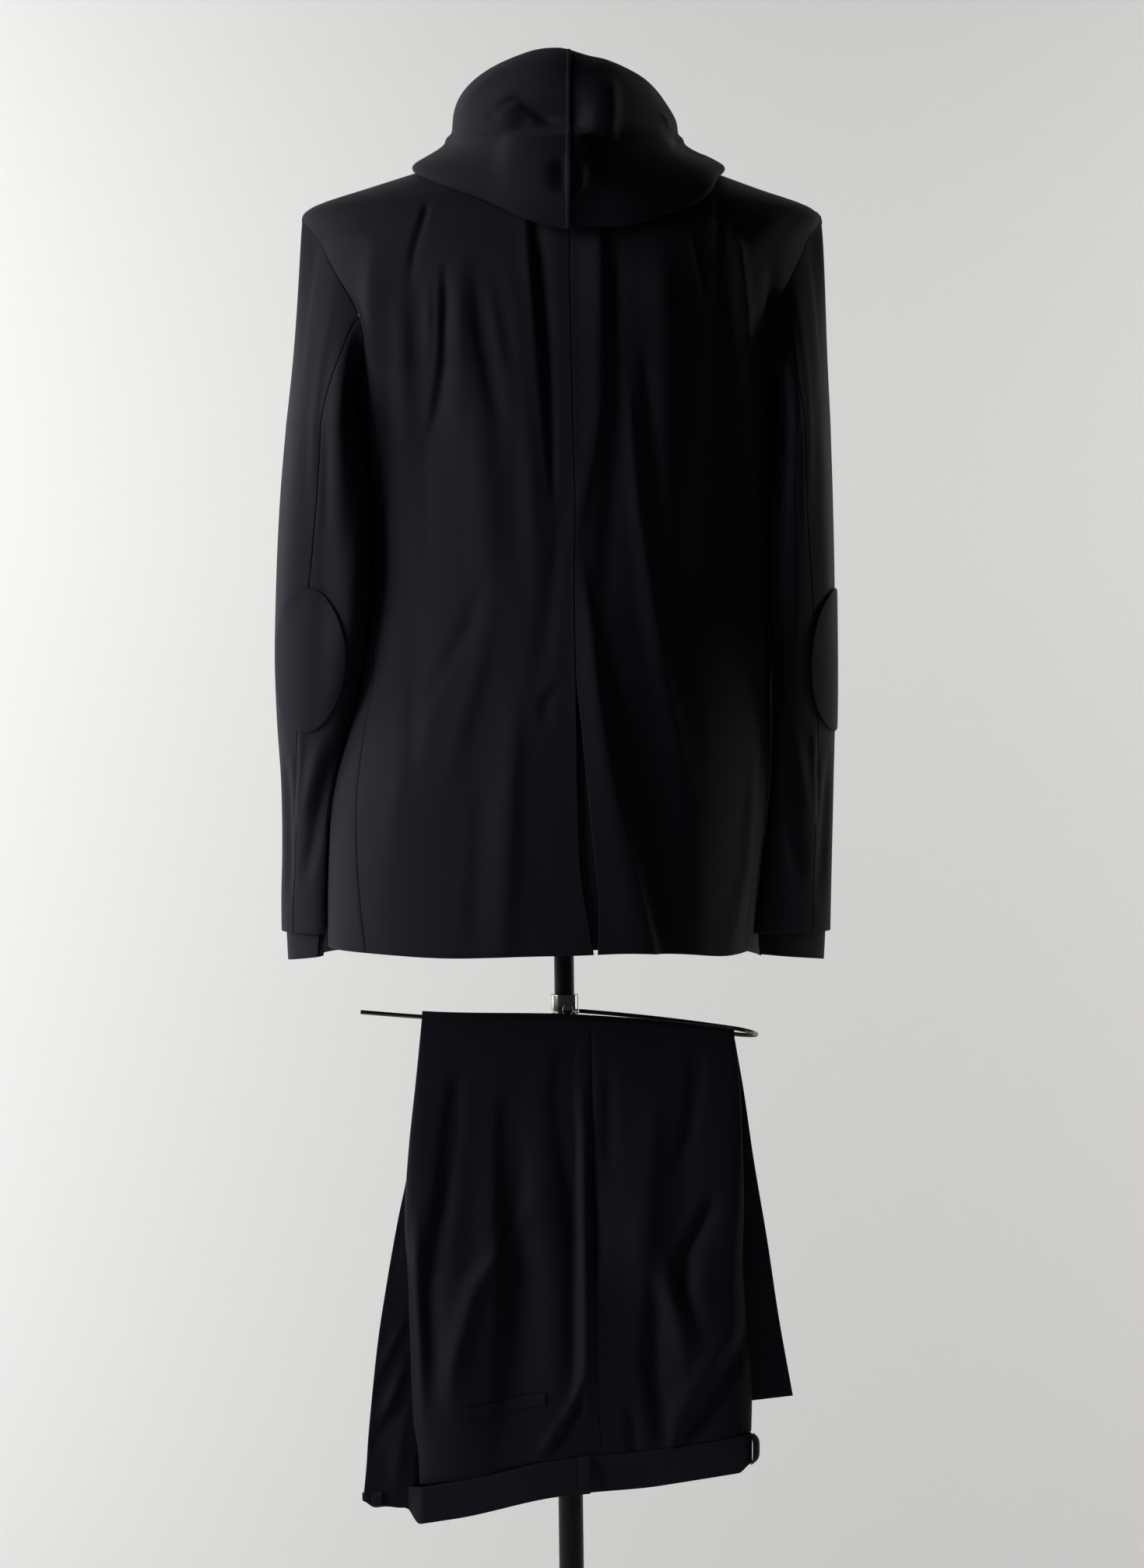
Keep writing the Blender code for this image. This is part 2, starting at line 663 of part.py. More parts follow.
def elbow_patch(side, label):
    """An oval of the same cloth, worked out on the sleeve's own surface."""
    rows = left_sleeve if side > 0 else right_sleeve
    level = np.sin(np.radians(np.linspace(-78, 78, 9)))[:, None]
    across = np.linspace(-1, 1, 7)[None, :]
    height = patch_height + patch_half_height * level
    half = (along(rows, "outer", height) - along(rows, "inner", height)) / 2
    reach = np.sqrt((half**2 + along(rows, "deep", height) ** 2) / 2)
    spread = np.degrees(patch_half_width * np.sqrt(1 - level**2) / reach)
    phi = patch_turn[side] + spread * across
    run = 1 + (cap_end - height) / (cap_end - sleeve_end) + 0 * phi
    surface = sleeve(side)
    points = surface(phi, run)
    up = sleeve_normals(side, surface, phi, run)
    wall(f"elbow_patch_{label}", points + up * (patch_lift + 0.0012), points + up * patch_lift, suit_cloth)


# ---------------------------------------------------------------- hood
# The hood lies down round the neck. Each row is its section at an angle from
# the centre back: the height of its hanging edge, of the fold half way up and
# of its top, and how far out the bag, the fold and the top reach.
hood_rows = table(
    "at edge fold top bag lip dome recess crown",
    (0.0, 1.470, 1.553, 1.641, 0.030, 0.126, 0.110, 0.014, 0.078),
    (20.0, 1.481, 1.553, 1.640, 0.029, 0.125, 0.110, 0.014, 0.079),
    (38.0, 1.499, 1.554, 1.634, 0.026, 0.122, 0.108, 0.008, 0.080),
    (62.0, 1.517, 1.556, 1.624, 0.020, 0.118, 0.105, 0.003, 0.081),
    (90.0, 1.531, 1.562, 1.607, 0.011, 0.112, 0.100, 0.000, 0.083),
    (110.0, 1.541, 1.563, 1.596, 0.008, 0.098, 0.091, 0.000, 0.080),
    (130.0, 1.549, 1.563, 1.586, 0.005, 0.081, 0.079, 0.000, 0.0745),
)
hood_wall = 0.0018


def body_reach(angle, height):
    """How far the jacket's surface is from its middle line, in a plain direction."""
    t = np.radians(angle)
    s, c = np.abs(np.sin(t)), np.cos(t)
    depth = np.where(c > 0, along(body_rows, "back", height), along(body_rows, "front", height))
    n = along(body_rows, "square", height)
    return ((s / along(body_rows, "half", height)) ** n + (np.abs(c) / depth) ** n) ** (-1 / n)


def hood_section(angle):
    """Control points of the hood's section at each angle, out from the neck and up."""
    a = np.abs(angle)
    get = lambda name: along(hood_rows, name, a)
    droop = 0.015 * smooth(5, 35, -angle) * (1 - smooth(46, 68, -angle))
    right, left = smooth(10, 50, -angle), smooth(15, 60, angle)
    edge, fold = get("edge") - droop + 0.003 * smooth(50, 80, a), get("fold")
    top = get("top") - 0.004 - 0.0075 * smooth(-8, 18, -angle)
    dome = get("dome") - 0.006 * right * (1 - 0.75 * smooth(60, 85, -angle)) + 0.0055 * left
    crown = get("crown") - 0.004 * right
    lip = get("lip") - 0.007 * smooth(50, 75, -angle)
    start = neck_height + 0.0022
    lie = 0.0042
    points = [
        (body_reach(a, neck_height) - 0.0030, start + 0 * a),
        (body_reach(a, neck_height) + 0.0020, start + 0.0025 + 0 * a),
        (body_reach(a, (neck_height * 2 + edge) / 3) + lie + 0.0014, (neck_height * 2 + edge) / 3 + lie),
        (body_reach(a, (neck_height + edge * 2) / 3) + lie, (neck_height + edge * 2) / 3 + lie * 0.6),
        (body_reach(a, edge + 0.004) + lie, edge + 0.0035),
        (body_reach(a, edge + 0.002) + lie + 0.0040, edge - 0.0035),
        (body_reach(a, edge) + lie + 0.0085, edge + 0.0050),
        ((body_reach(a, edge) * 0.62 + lip * 0.38) + get("bag") * 0.62, edge + (fold - edge) * 0.42),
        (lip + get("bag") * 0.26, edge + (fold - edge) * 0.78),
        (lip + 0.0020, fold - 0.0030),
        (lip + 0.0005, fold + 0.0020),
        (dome - get("recess"), fold + (top - fold) * 0.10),
        (dome + 0.0005, fold + (top - fold) * 0.42),
        (dome - 0.0050 - 0.005 * right, fold + (top - fold) * 0.78),
        (crown + 0.0060, top - 0.0010),
        (crown - 0.0060, top + 0.0005),
        (crown - 0.0110, top - 0.0140),
        (0.0685 + 0 * a, fold + (top - fold) * 0.35),
        (0.0670 + 0 * a, fold + 0.0020),
    ]
    return np.stack([np.stack(np.broadcast_arrays(r, z), axis=-1) for r, z in points], axis=-2)


def spline(points, t):
    """A uniform cubic B-spline through the open row of control points."""
    n = points.shape[-2]
    first, last = points[..., :1, :], points[..., -1:, :]
    padded = np.concatenate([2 * first - points[..., 1:2, :], points, 2 * last - points[..., -2:-1, :]], axis=-2)
    span = np.clip(t, 0, 1) * (n - 1)
    k = np.clip(np.floor(span).astype(int), 0, n - 2)
    f = (span - k)[..., None]
    pick = lambda i: np.take_along_axis(padded, np.repeat((k + i)[..., None, None], 2, axis=-1), axis=-2)[..., 0, :]
    p0, p1, p2, p3 = pick(0), pick(1), pick(2), pick(3)
    return (
        (1 - f) ** 3 * p0 + (3 * f**3 - 6 * f**2 + 4) * p1 + (-3 * f**3 + 3 * f**2 + 3 * f + 1) * p2 + f**3 * p3
    ) / 6


def hood(angle, run):
    """The hood's outer surface. run goes from the neck seam, round the bag, to the inside."""
    angle, run = np.broadcast_arrays(np.asarray(angle, float), np.asarray(run, float))
    flat = spline(hood_section(angle), run)
    t = np.radians(angle)
    points = np.stack([flat[..., 0] * np.sin(t), flat[..., 0] * np.cos(t), flat[..., 1]], axis=-1)
    near = smooth(0.03, 0.09, run) * (1 - smooth(0.42, 0.50, run))
    return keep_clear(points, 0.0032 * near - 0.05 * (near == 0))


def hood_halves():
    share = np.linspace(0, 1, 10)[None, :]
    run = np.linspace(0, 1, 24)[:, None] + 0 * share
    for side, label in ((1, "left"), (-1, "right")):
        angle = side * (0.08 + (hood_end - 0.08) * share) + 0 * run
        points = hood(angle, run)
        up = -normals(hood, angle, run, 0.3, 0.004)
        wall(f"hood_{label}", points, points - up * hood_wall, suit_cloth)
    run = np.linspace(0, 1, 24)[7:19, None] + np.zeros((1, 3))
    reach = np.array([-1.2, 0.0, 1.2])[None, :] + 0 * run
    points = hood(reach, run)
    up = -normals(hood, reach, run, 0.3, 0.004)
    wall("hood_seam_welt", points + up * (seam_gap + 0.0013), points + up * (seam_gap + 0.0002), suit_cloth)


# ---------------------------------------------------------------- trousers
# Edges of the trousers as they hang, read from the fold at the bar, 0, to the
# waist seam or the leg hem, 1.
seat_rows = table(
    "at left middle right hip puff",
    (0.00, 0.135, -0.020, -0.152, 0.133, 0.0000),
    (0.12, 0.140, -0.021, -0.157, 0.139, 0.0030),
    (0.30, 0.148, -0.022, -0.160, 0.147, 0.0060),
    (0.42, 0.151, -0.023, -0.161, 0.158, 0.0085),
    (0.56, 0.148, -0.025, -0.160, 0.169, 0.0110),
    (0.70, 0.146, -0.025, -0.163, 0.178, 0.0140),
    (0.83, 0.144, -0.026, -0.168, 0.184, 0.0165),
    (0.93, 0.139, -0.029, -0.1685, 0.187, 0.0175),
    (1.00, 0.138, -0.031, -0.168, 0.190, 0.0175),
)
leg_rows = table(
    "at left middle right puff",
    (0.00, 0.135, -0.020, -0.152, 0.0000),
    (0.15, 0.131, -0.026, -0.161, 0.0040),
    (0.33, 0.126, -0.033, -0.170, 0.0060),
    (0.56, 0.117, -0.041, -0.183, 0.0065),
    (0.78, 0.109, -0.047, -0.194, 0.0065),
    (1.00, 0.101, -0.053, -0.207, 0.0070),
)
leg_hem = 0.4015   # at its right, from where it rises to the right by hem_slope
hem_slope = -0.12
waist_seam_height = 0.3525   # of the band's upper edge, at the middle
waist_slope = -0.155
band_height = 0.034
belt_loop_half_width = 0.005
crotch = 0.55                # share of the seat side where the legs part
inner_lay = 0.0031           # from a rod's middle to the middle of the inner layer
outer_lay = 0.0049

seat_folds = table(
    "top_turn top_height low_turn low_height half_width rise",
    (0.60, 0.10, 0.62, 1.00, 0.10, -0.0050),
    (0.34, 0.16, 0.38, 1.00, 0.10, -0.0045),
    (0.48, 0.40, 0.22, 0.95, 0.10, 0.0035),
    (0.86, 0.06, 0.82, 0.60, 0.09, -0.0060),
    (1.22, 0.20, 1.28, 0.62, 0.10, 0.0035),
    (1.62, 0.25, 1.50, 0.70, 0.10, -0.0040),
    (1.70, 0.55, 1.62, 0.98, 0.09, 0.0035),
    (1.36, 0.70, 1.40, 1.04, 0.09, -0.0030),
)
leg_folds = table(
    "top_turn top_height low_turn low_height half_width rise",
    (0.35, 0.15, 0.45, 0.95, 0.08, -0.0020),
    (1.45, 0.15, 1.60, 0.95, 0.08, -0.0020),
    (0.70, 0.20, 0.75, 0.90, 0.06, 0.0020),
    (1.20, 0.20, 1.25, 0.90, 0.06, 0.0020),
)


bar_rows = table(
    "at front rear",
    (-0.176, 0.7375, 0.7388),
    (-0.155, 0.7403, 0.7420),
    (-0.014, 0.7530, 0.7580),
    (0.135, 0.7565, 0.7640),
    (0.191, 0.7608, 0.7660),
)


def waist_line(x):
    """Height of the seam between the legs and the waistband; it sags a little either side of the pole."""
    sag = 0.0058 * smooth(0.015, 0.105, x) + 0.0044 * smooth(0.0, 0.085, -x)
    return waist_seam_height + waist_slope * x - sag


def bar_line(x):
    """Height of the bar's front arm, which droops to the right."""
    return along(bar_rows, "front", x)


def trouser_x(rows, across, drop):
    """Side position: across is 0 at the left edge, 1 at the middle, 2 at the right."""
    left, middle, right = (along(rows, name, drop) for name in ("left", "middle", "right"))
    return np.where(across < 1, left + (middle - left) * across, middle + (right - middle) * (across - 1))


def layer(inner, hip=False):
    """The middle surface of one layer of the trousers, over the bar and down both sides."""
    seat_edges = dict(seat_rows)
    if hip:
        seat_edges["left"] = seat_rows["hip"]

    def surface(across, run):
        # run -1 is the waist seam, 0 the fold over the bar, 1 the leg hem
        across, run = np.broadcast_arrays(np.asarray(across, float), np.asarray(run, float))
        seat = run < 0
        drop = np.clip((np.abs(run) - 0.05) / 0.95, 0, 1.1)
        x = np.where(seat, trouser_x(seat_edges, across, drop), trouser_x(leg_rows, across, drop))
        top = bar_line(x)
        low = np.where(seat, waist_line(x), leg_hem + hem_slope * (x + 0.175))
        # the hollow between the layers closes at the outer edges and, on the legs, at the middle
        edge = np.clip(1 - np.abs(across - 1) ** 8, 0, 1) ** 0.5
        inside = np.clip(1 - np.abs(2 * np.mod(across, 1.0) - 1) ** 8, 0, 1) ** 0.5
        inside = np.where((across <= 0) | (across >= 2), 0, inside)
        joined = np.where(seat, smooth(crotch - 0.08, crotch + 0.08, drop), 0)
        open_to = inside + (edge - inside) * joined
        puff = np.where(seat, along(seat_rows, "puff", drop), along(leg_rows, "puff", drop)) * open_to
        if inner:
            lay = inner_lay + 0 * across
        else:
            relief = np.where(seat, fold_relief(seat_folds, across, drop), fold_relief(leg_folds, across, drop))
            lay = outer_lay + puff + np.maximum(relief * smooth(0.0, 0.12, drop) * open_to, -0.75 * puff)
        # half round the bar at the top, straight falls below
        bend = np.radians(90 * np.clip(np.abs(run) / 0.05, 0, 1))
        y = bar_front + np.where(seat, 1, -1) * lay * np.sin(bend)
        z = top + (low - top) * drop + lay * np.cos(bend)
        return np.stack([x, y, z], axis=-1)
    return surface


def trouser_normals(surface, across, run):
    """Normals of a layer, away from the bar."""
    da = surface(across + 0.01, run) - surface(across - 0.01, run)
    dr = surface(across, run + 0.006) - surface(across, run - 0.006)
    n = np.cross(da, dr)
    return n / np.linalg.norm(n, axis=-1, keepdims=True)


welt_rows = (-0.876, -0.850)
leg_gap = 0.0012


def outer_columns(low, high):
    """Places across one leg's outer layer, closer together at both edges."""
    t = np.linspace(0, 1, 11)
    return low + (high - low) * (t - 0.35 * np.sin(2 * np.pi * t) / (2 * np.pi))


def trousers():
    seat = -np.array([1.0, 0.94, 0.876, 0.850, 0.77, 0.69, 0.61, 0.53, 0.45, 0.36, 0.27, 0.18, 0.10])
    bend = np.array([-0.05, -0.033, -0.017, 0.0, 0.017, 0.033, 0.05])
    leg = np.array([0.12, 0.24, 0.38, 0.54, 0.70, 0.85, 1.0])
    run = np.concatenate([seat, bend, leg])[:, None]
    for low, high, label in ((0.001, 1 - leg_gap, "left"), (1 + leg_gap, 1.999, "right")):
        outer = outer_columns(low, high)
        for name, inner, columns in (("front", True, outer[::2]), ("back", False, outer)):
            surface = layer(inner, inner and label == "left")
            across, rows = np.broadcast_arrays(columns[None, :], run)
            points = surface(across, rows)
            up = trouser_normals(surface, across, rows)
            half = trouser_cloth / 2
            wall(f"trouser_{name}_{label}", points + up * half, points - up * half, suit_cloth)


def band_loop(share, height_share):
    """The waistband's flat loop: share runs once round, from the left edge over the seat side."""
    share, height_share = np.broadcast_arrays(share, height_share)
    t = 2 * np.pi * share
    left, right = 0.190, -0.168
    x = (left + right) / 2 + (left - right) / 2 * np.cos(t)
    near = bar_front + inner_lay
    deep = 0.0030 + 0.0163 * (1 - smooth(0.134, 0.152, x))  # shallow at the hip, beyond the seat's edge
    y = near + deep * (0.5 + 0.5 * np.sign(np.sin(t)) * np.abs(np.sin(t)) ** 0.35)
    cut = 0.015 * smooth(0.137, 0.151, x) + 0.004 * smooth(0.151, 0.172, x) + 0.008 * smooth(0.174, 0.190, x) ** 2
    cut = cut + 0.007 * smooth(0.156, 0.168, -x)
    z = waist_line(x) - 0.0006 - (band_height - cut) * height_share
    return np.stack([x, y, z], axis=-1)


def band_normals(share, height_share):
    """Normals of the band's loop, away from its middle."""
    around = band_loop(share + 0.001, height_share) - band_loop(share - 0.001, height_share)
    n = np.cross(around, np.array([0, 0, 1.0]))
    return n / np.linalg.norm(n, axis=-1, keepdims=True)


def waistband():
    hip = np.array([0.0, 0.02, 0.045, 0.07, 0.09, 0.103, 0.110, 0.117, 0.124, 0.133, 0.15])
    share = np.concatenate([hip, np.linspace(0.18, 0.46, 11), [0.48, 0.49, 0.5, 0.51, 0.52], 1 - hip[:0:-1]])[None, :]
    down = np.array([[0.0], [1.0]])
    outside = band_loop(share, down)
    n = band_normals(share, down)
    tube_wall("waistband", outside + n * 0.0007, outside - n * 0.0009, suit_cloth)
    for name, at in (("belt_loop_centre", 0.273), ("belt_loop_right", 0.478), ("belt_loop_left", 0.062)):
        belt_loop(name, at)


def belt_loop(name, at):
    """A narrow strip bridging the band, standing off it in the middle."""
    down = np.linspace(-0.02, 1.02, 7)[:, None]
    fine = np.linspace(at - 0.06, at + 0.06, 241)
    middle_line = band_loop(fine, 0.0) + band_normals(fine, 0.0) * 0.0045
    ran = np.cumsum(np.linalg.norm(np.diff(middle_line, axis=0), axis=-1))
    share = np.interp(ran[119] + np.linspace(-1, 1, 4) * belt_loop_half_width, ran, fine[1:])[None, :]
    spine = band_loop(share, down)
    n = band_normals(share, down)
    bow = (0.0012 + 0.0052 * np.clip(1 - (2 * down - 1) ** 4, 0, 1))[..., None]
    wall(name, spine + n * (bow + 0.0012), spine + n * bow, suit_cloth)


def pocket_welt():
    """A narrow stitched lip over the back pocket's slit."""
    surface = layer(False)
    across, run = np.meshgrid(outer_columns(0.001, 1 - leg_gap)[3:9], np.array(welt_rows))
    points = surface(across, run)
    up = trouser_normals(surface, across, run)
    base = trouser_cloth / 2 + seam_gap
    wall("back_pocket_welt", points + up * (base + 0.0011), points + up * base, suit_cloth)


# ---------------------------------------------------------------- form and stand
form_rows = table(
    "at half back front",
    (0.868, 0.150, 0.095, 0.088),
    (0.930, 0.165, 0.102, 0.092),
    (1.000, 0.162, 0.100, 0.092),
    (1.080, 0.152, 0.093, 0.090),
    (1.160, 0.148, 0.089, 0.090),
    (1.260, 0.162, 0.094, 0.096),
    (1.350, 0.176, 0.099, 0.099),
    (1.420, 0.183, 0.097, 0.092),
    (1.465, 0.176, 0.088, 0.078),
    (1.493, 0.150, 0.076, 0.066),
    (1.511, 0.112, 0.064, 0.055),
    (1.525, 0.078, 0.056, 0.050),
    (1.545, 0.058, 0.052, 0.048),
    (1.590, 0.054, 0.052, 0.049),
    (1.598, 0.050, 0.048, 0.045),
)


def dress_form():
    angle = np.radians(np.arange(0, 360, 18.0))[None, :]
    neck = [1.445, 1.465, 1.480, 1.493, 1.502, 1.511, 1.520, 1.530, 1.545, 1.590, 1.598]
    heights = np.concatenate([np.linspace(form_bottom, 1.42, 9), neck])[:, None]
    s, c = np.sin(angle), np.cos(angle)
    n = 2.2
    k = (np.abs(s) ** n + np.abs(c) ** n) ** (-1 / n)
    depth = np.where(c > 0, along(form_rows, "back", heights), along(form_rows, "front", heights))
    x = along(form_rows, "half", heights) * k * s + 0.003
    y = depth * k * c
    x, y, z = np.broadcast_arrays(x, y, heights)
    loft("dress_form", np.stack([x, y, z], axis=-1), form_jersey)


def lean(height):
    """How far to the left the pole's middle is at a height: the stand leans a little."""
    return pole_foot + pole_slope * height


def turned(name, profile, made_of, segments=24, leaning=True):
    """A solid of revolution about the pole, from radius and height pairs."""
    angle = np.linspace(0, 2 * np.pi, segments, endpoint=False)[None, :]
    radius = np.array([p[0] for p in profile])[:, None]
    height = np.array([p[1] for p in profile])[:, None] + 0 * angle
    middle = lean(height) if leaning else pole_foot
    rings = np.stack([middle + radius * np.cos(angle), radius * np.sin(angle), height], axis=-1)
    return loft(name, rings, made_of)


def stand():
    r = base_radius
    base = ((r - 0.002, 0.0), (r, 0.002), (r, 0.009), (r - 0.003, 0.0125), (0.030, 0.0155), (0.016, 0.019))
    turned("stand_base", base, stand_black, 40, False)
    turned("stand_tube", ((tube_radius, 0.0193), (tube_radius, collar_bottom - seam_gap)), stand_grey, 20)
    edge = 0.001
    collar = (
        (collar_radius - edge, collar_bottom), (collar_radius, collar_bottom + edge),
        (collar_radius, collar_top - edge), (collar_radius - edge, collar_top),
    )
    turned("clamp_collar", collar, chrome, 24)
    turned("stand_pole", ((pole_radius, collar_top + seam_gap), (pole_radius, form_bottom - 0.0083)), stand_black, 20)
    flange = ((0.036, form_bottom - 0.008), (0.038, form_bottom - 0.0065), (0.038, form_bottom - seam_gap))
    turned("form_flange", flange, stand_black, 24)
    screw = turned("thumb_screw", ((0.0026, 0.0), (0.0026, 0.004), (0.0048, 0.004), (0.0048, 0.0085)), chrome, 16, False)
    for corner in screw.data.vertices:
        across, along_it, out = corner.co
        spot = across - pole_foot + lean(screw_height) - 0.003
        corner.co = (spot, collar_radius + seam_gap + out, screw_height - along_it)


def trouser_bar():
    """One rod: its rear arm runs right from the collar, turns round, and comes back as the front arm."""
    half = bar_front / 2
    start = lean(along(bar_rows, "rear", 0.0)) - collar_radius - seam_gap
    route = [(start, 0.0, along(bar_rows, "rear", start)), (-0.085, 0.0, along(bar_rows, "rear", -0.085))]
    for k in range(9):
        a = math.pi * k / 8
        x = bar_bend - half * math.sin(a)
        rear, front = along(bar_rows, "rear", x), along(bar_rows, "front", x)
        route.append((x, half - half * math.cos(a), rear + (front - rear) * k / 8))
    route += [(x, bar_front, bar_line(x)) for x in (-0.12, -0.085, -0.05, -0.014, 0.03, 0.065, 0.10, 0.135, bar_end)]
    route = np.array(route)
    ahead = np.gradient(route, axis=0)
    ahead /= np.linalg.norm(ahead, axis=1, keepdims=True)
    beside = np.cross(ahead, np.array([0, 0, 1.0]))
    beside /= np.linalg.norm(beside, axis=1, keepdims=True)
    above = np.cross(beside, ahead)
    a = np.linspace(0, 2 * np.pi, 8, endpoint=False)[None, :, None]
    rings = route[:, None, :] + rod_radius * (beside[:, None, :] * np.cos(a) + above[:, None, :] * np.sin(a))
    loft("trouser_bar", rings, bar_steel)


# ---------------------------------------------------------------- build
for thing in list(bpy.data.objects):
    bpy.data.objects.remove(thing)
parts = bpy.data.collections.new("hooded suit on a stand")
bpy.context.scene.collection.children.link(parts)

suit_cloth = material("navy stretch cloth", (0.010, 0.011, 0.016), 0.62)
button_plastic = material("button", (0.008, 0.008, 0.010), 0.35)
form_jersey = material("form jersey", (0.020, 0.020, 0.022), 0.85)
stand_black = material("black lacquer", (0.012, 0.012, 0.013), 0.35)
stand_grey = material("dark grey lacquer", (0.016, 0.015, 0.015), 0.40)
chrome = material("chrome", (0.60, 0.58, 0.54), 0.18, 1.0)
bar_steel = material("bar steel", (0.10, 0.085, 0.075), 0.30, 1.0)

back_panels()
vent_underlap()
side_panels()
front_panels()
lapels()
buttons()
sleeves()
hood_halves()
trousers()
waistband()
pocket_welt()
dress_form()
stand()
trouser_bar()
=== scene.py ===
import math

import bpy
import numpy as np
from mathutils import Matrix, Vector


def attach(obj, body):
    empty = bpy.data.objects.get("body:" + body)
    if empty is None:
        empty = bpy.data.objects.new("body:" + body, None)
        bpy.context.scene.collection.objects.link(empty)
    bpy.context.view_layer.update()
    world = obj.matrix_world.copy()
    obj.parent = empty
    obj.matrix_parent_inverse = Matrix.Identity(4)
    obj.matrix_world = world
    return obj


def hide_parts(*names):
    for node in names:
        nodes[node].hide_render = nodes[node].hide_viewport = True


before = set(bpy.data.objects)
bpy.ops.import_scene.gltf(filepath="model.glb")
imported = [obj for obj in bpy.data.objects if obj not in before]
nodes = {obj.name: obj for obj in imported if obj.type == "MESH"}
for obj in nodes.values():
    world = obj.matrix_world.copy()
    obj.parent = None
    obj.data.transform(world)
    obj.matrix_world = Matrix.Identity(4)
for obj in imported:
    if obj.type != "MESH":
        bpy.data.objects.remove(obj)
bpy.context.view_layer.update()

scene = bpy.context.scene
print("frame loaded:", len(nodes), "nodes")

# sizes shared by many pieces, in metres and degrees, as the solids have them
suit = {
    "cloth": 0.0016,
    "trouserCloth": 0.0013,
    "seamGap": 0.0003,
    "hem": 0.8196,
    "underarm": 1.330,
    "shoulder": 1.500,
    "neck": 1.551,
    "armholeTurn": 31.0,
    "armholeSeams": (142.0, 218.0),  # where the side seams meet the armhole, turned round it from its top
    "ventTop": 1.067,
    "breakHeight": 1.205,
    "rollTop": 1.530,
    "rollReach": 0.064,
    "bodyDepth": 0.11,
    "frontOverlap": 0.018,
    "rightLapelFoot": 1.243,
    "frontsPart": 1.292,
    "sleeveEnd": 0.829,
    "capEnd": 1.300,
    "cuffDrop": 0.0275,
    "hoodEnd": 126.0,
}


def table(names, *rows):  # rows under named columns, one array a column
    return dict(zip(names.split(), np.array(rows, float).T))


# a crease is a few rows, highest first: its height, its place across, its widths to either side and its
# rise; in millimetres, and round the hood in degrees for the place and the widths
clothUnits = (1000, 1000, 1000, 1000, 1000)
hoodUnits = (1000, 1, 1, 1, 1000)


def creaseTable(perUnit, *creases):  # each crease in metres and degrees, its lowest row first
    return [np.array(rows[::-1]) / perUnit for rows in creases]


def along(rows, name, at):  # a smooth cubic through one column's values
    x, y = rows["at"], rows[name]
    slope = np.gradient(y, x)
    at = np.clip(at, x[0], x[-1])
    k = np.clip(np.searchsorted(x, at) - 1, 0, len(x) - 2)
    step = x[k + 1] - x[k]
    t = (at - x[k]) / step
    start = (2 * t**3 - 3 * t**2 + 1) * y[k] + (t**3 - 2 * t**2 + t) * step * slope[k]
    return start + (3 * t**2 - 2 * t**3) * y[k + 1] + (t**3 - t**2) * step * slope[k + 1]


def smooth(low, high, value):  # 0 below low, 1 above high, softly between
    t = np.clip((value - low) / (high - low), 0, 1)
    return t * t * (3 - 2 * t)


def foldRelief(folds, u, v):
    # each row is a rounded ridge or trough along a straight line from (u0, v0) to (u1, v1):
    # rise times a bell across it times a soft fade at both its ends
    total = np.zeros(np.broadcast(u, v).shape)
    for u0, v0, u1, v1, width, rise in zip(*folds.values()):
        t = (v - v0) / (v1 - v0)
        line = u0 + (u1 - u0) * t
        fade = smooth(-0.12, 0.25, t) * (1 - smooth(0.70, 1.12, t))
        total = total + rise * fade * np.exp(-(((u - line) / width) ** 2))
    return total


# ---- jacket body: rings of a rounded oval, read by turn from the centre back and by height
bodyRows = table(
    "at middle half back front square turn",
    (0.820, 0.027, 0.196, 0.122, 0.112, 2.3, -14.5),
    (0.896, 0.023, 0.199, 0.124, 0.112, 2.3, -9.8),
    (0.960, 0.017, 0.201, 0.124, 0.112, 2.25, -7.2),
    (1.024, 0.009, 0.195, 0.121, 0.111, 2.2, -4.8),
    (1.062, 0.004, 0.190, 0.118, 0.110, 2.2, -3.2),
    (1.110, 0.001, 0.190, 0.114, 0.108, 2.2, -2.0),
    (1.165, 0.000, 0.188, 0.111, 0.107, 2.2, -1.7),
    (1.240, 0.000, 0.190, 0.114, 0.111, 2.3, -1.7),
    (1.300, 0.002, 0.195, 0.119, 0.116, 2.4, -1.7),
    (1.348, 0.003, 0.201, 0.122, 0.118, 2.5, -1.7),
    (1.400, 0.005, 0.213, 0.121, 0.115, 2.5, -1.8),
    (1.434, 0.006, 0.222, 0.117, 0.110, 2.45, -1.8),
    (1.462, 0.006, 0.227, 0.111, 0.102, 2.4, -1.8),
    (1.500, 0.007, 0.226, 0.097, 0.088, 2.2, -1.5),
    (1.515, 0.006, 0.182, 0.090, 0.080, 2.1, -1.0),
    (1.530, 0.003, 0.138, 0.082, 0.072, 2.0, -0.5),
    (1.545, 0.001, 0.092, 0.074, 0.066, 2.0, 0.0),
    (1.552, 0.000, 0.073, 0.069, 0.062, 2.0, 0.0),
)
seamRows = table(
    "at sideBack sideFront",
    (0.820, 61.0, 118.0),
    (0.934, 62.5, 117.0),
    (1.080, 67.0, 115.0),
    (1.200, 66.5, 115.0),
    (1.348, 63.54, 116.46),
)
ventRows = table(
    "at gap",
    (0.820, 0.0030),
    (0.860, 0.0110),
    (0.950, 0.0100),
    (1.000, 0.0060),
    (1.067, 0.0003),
)
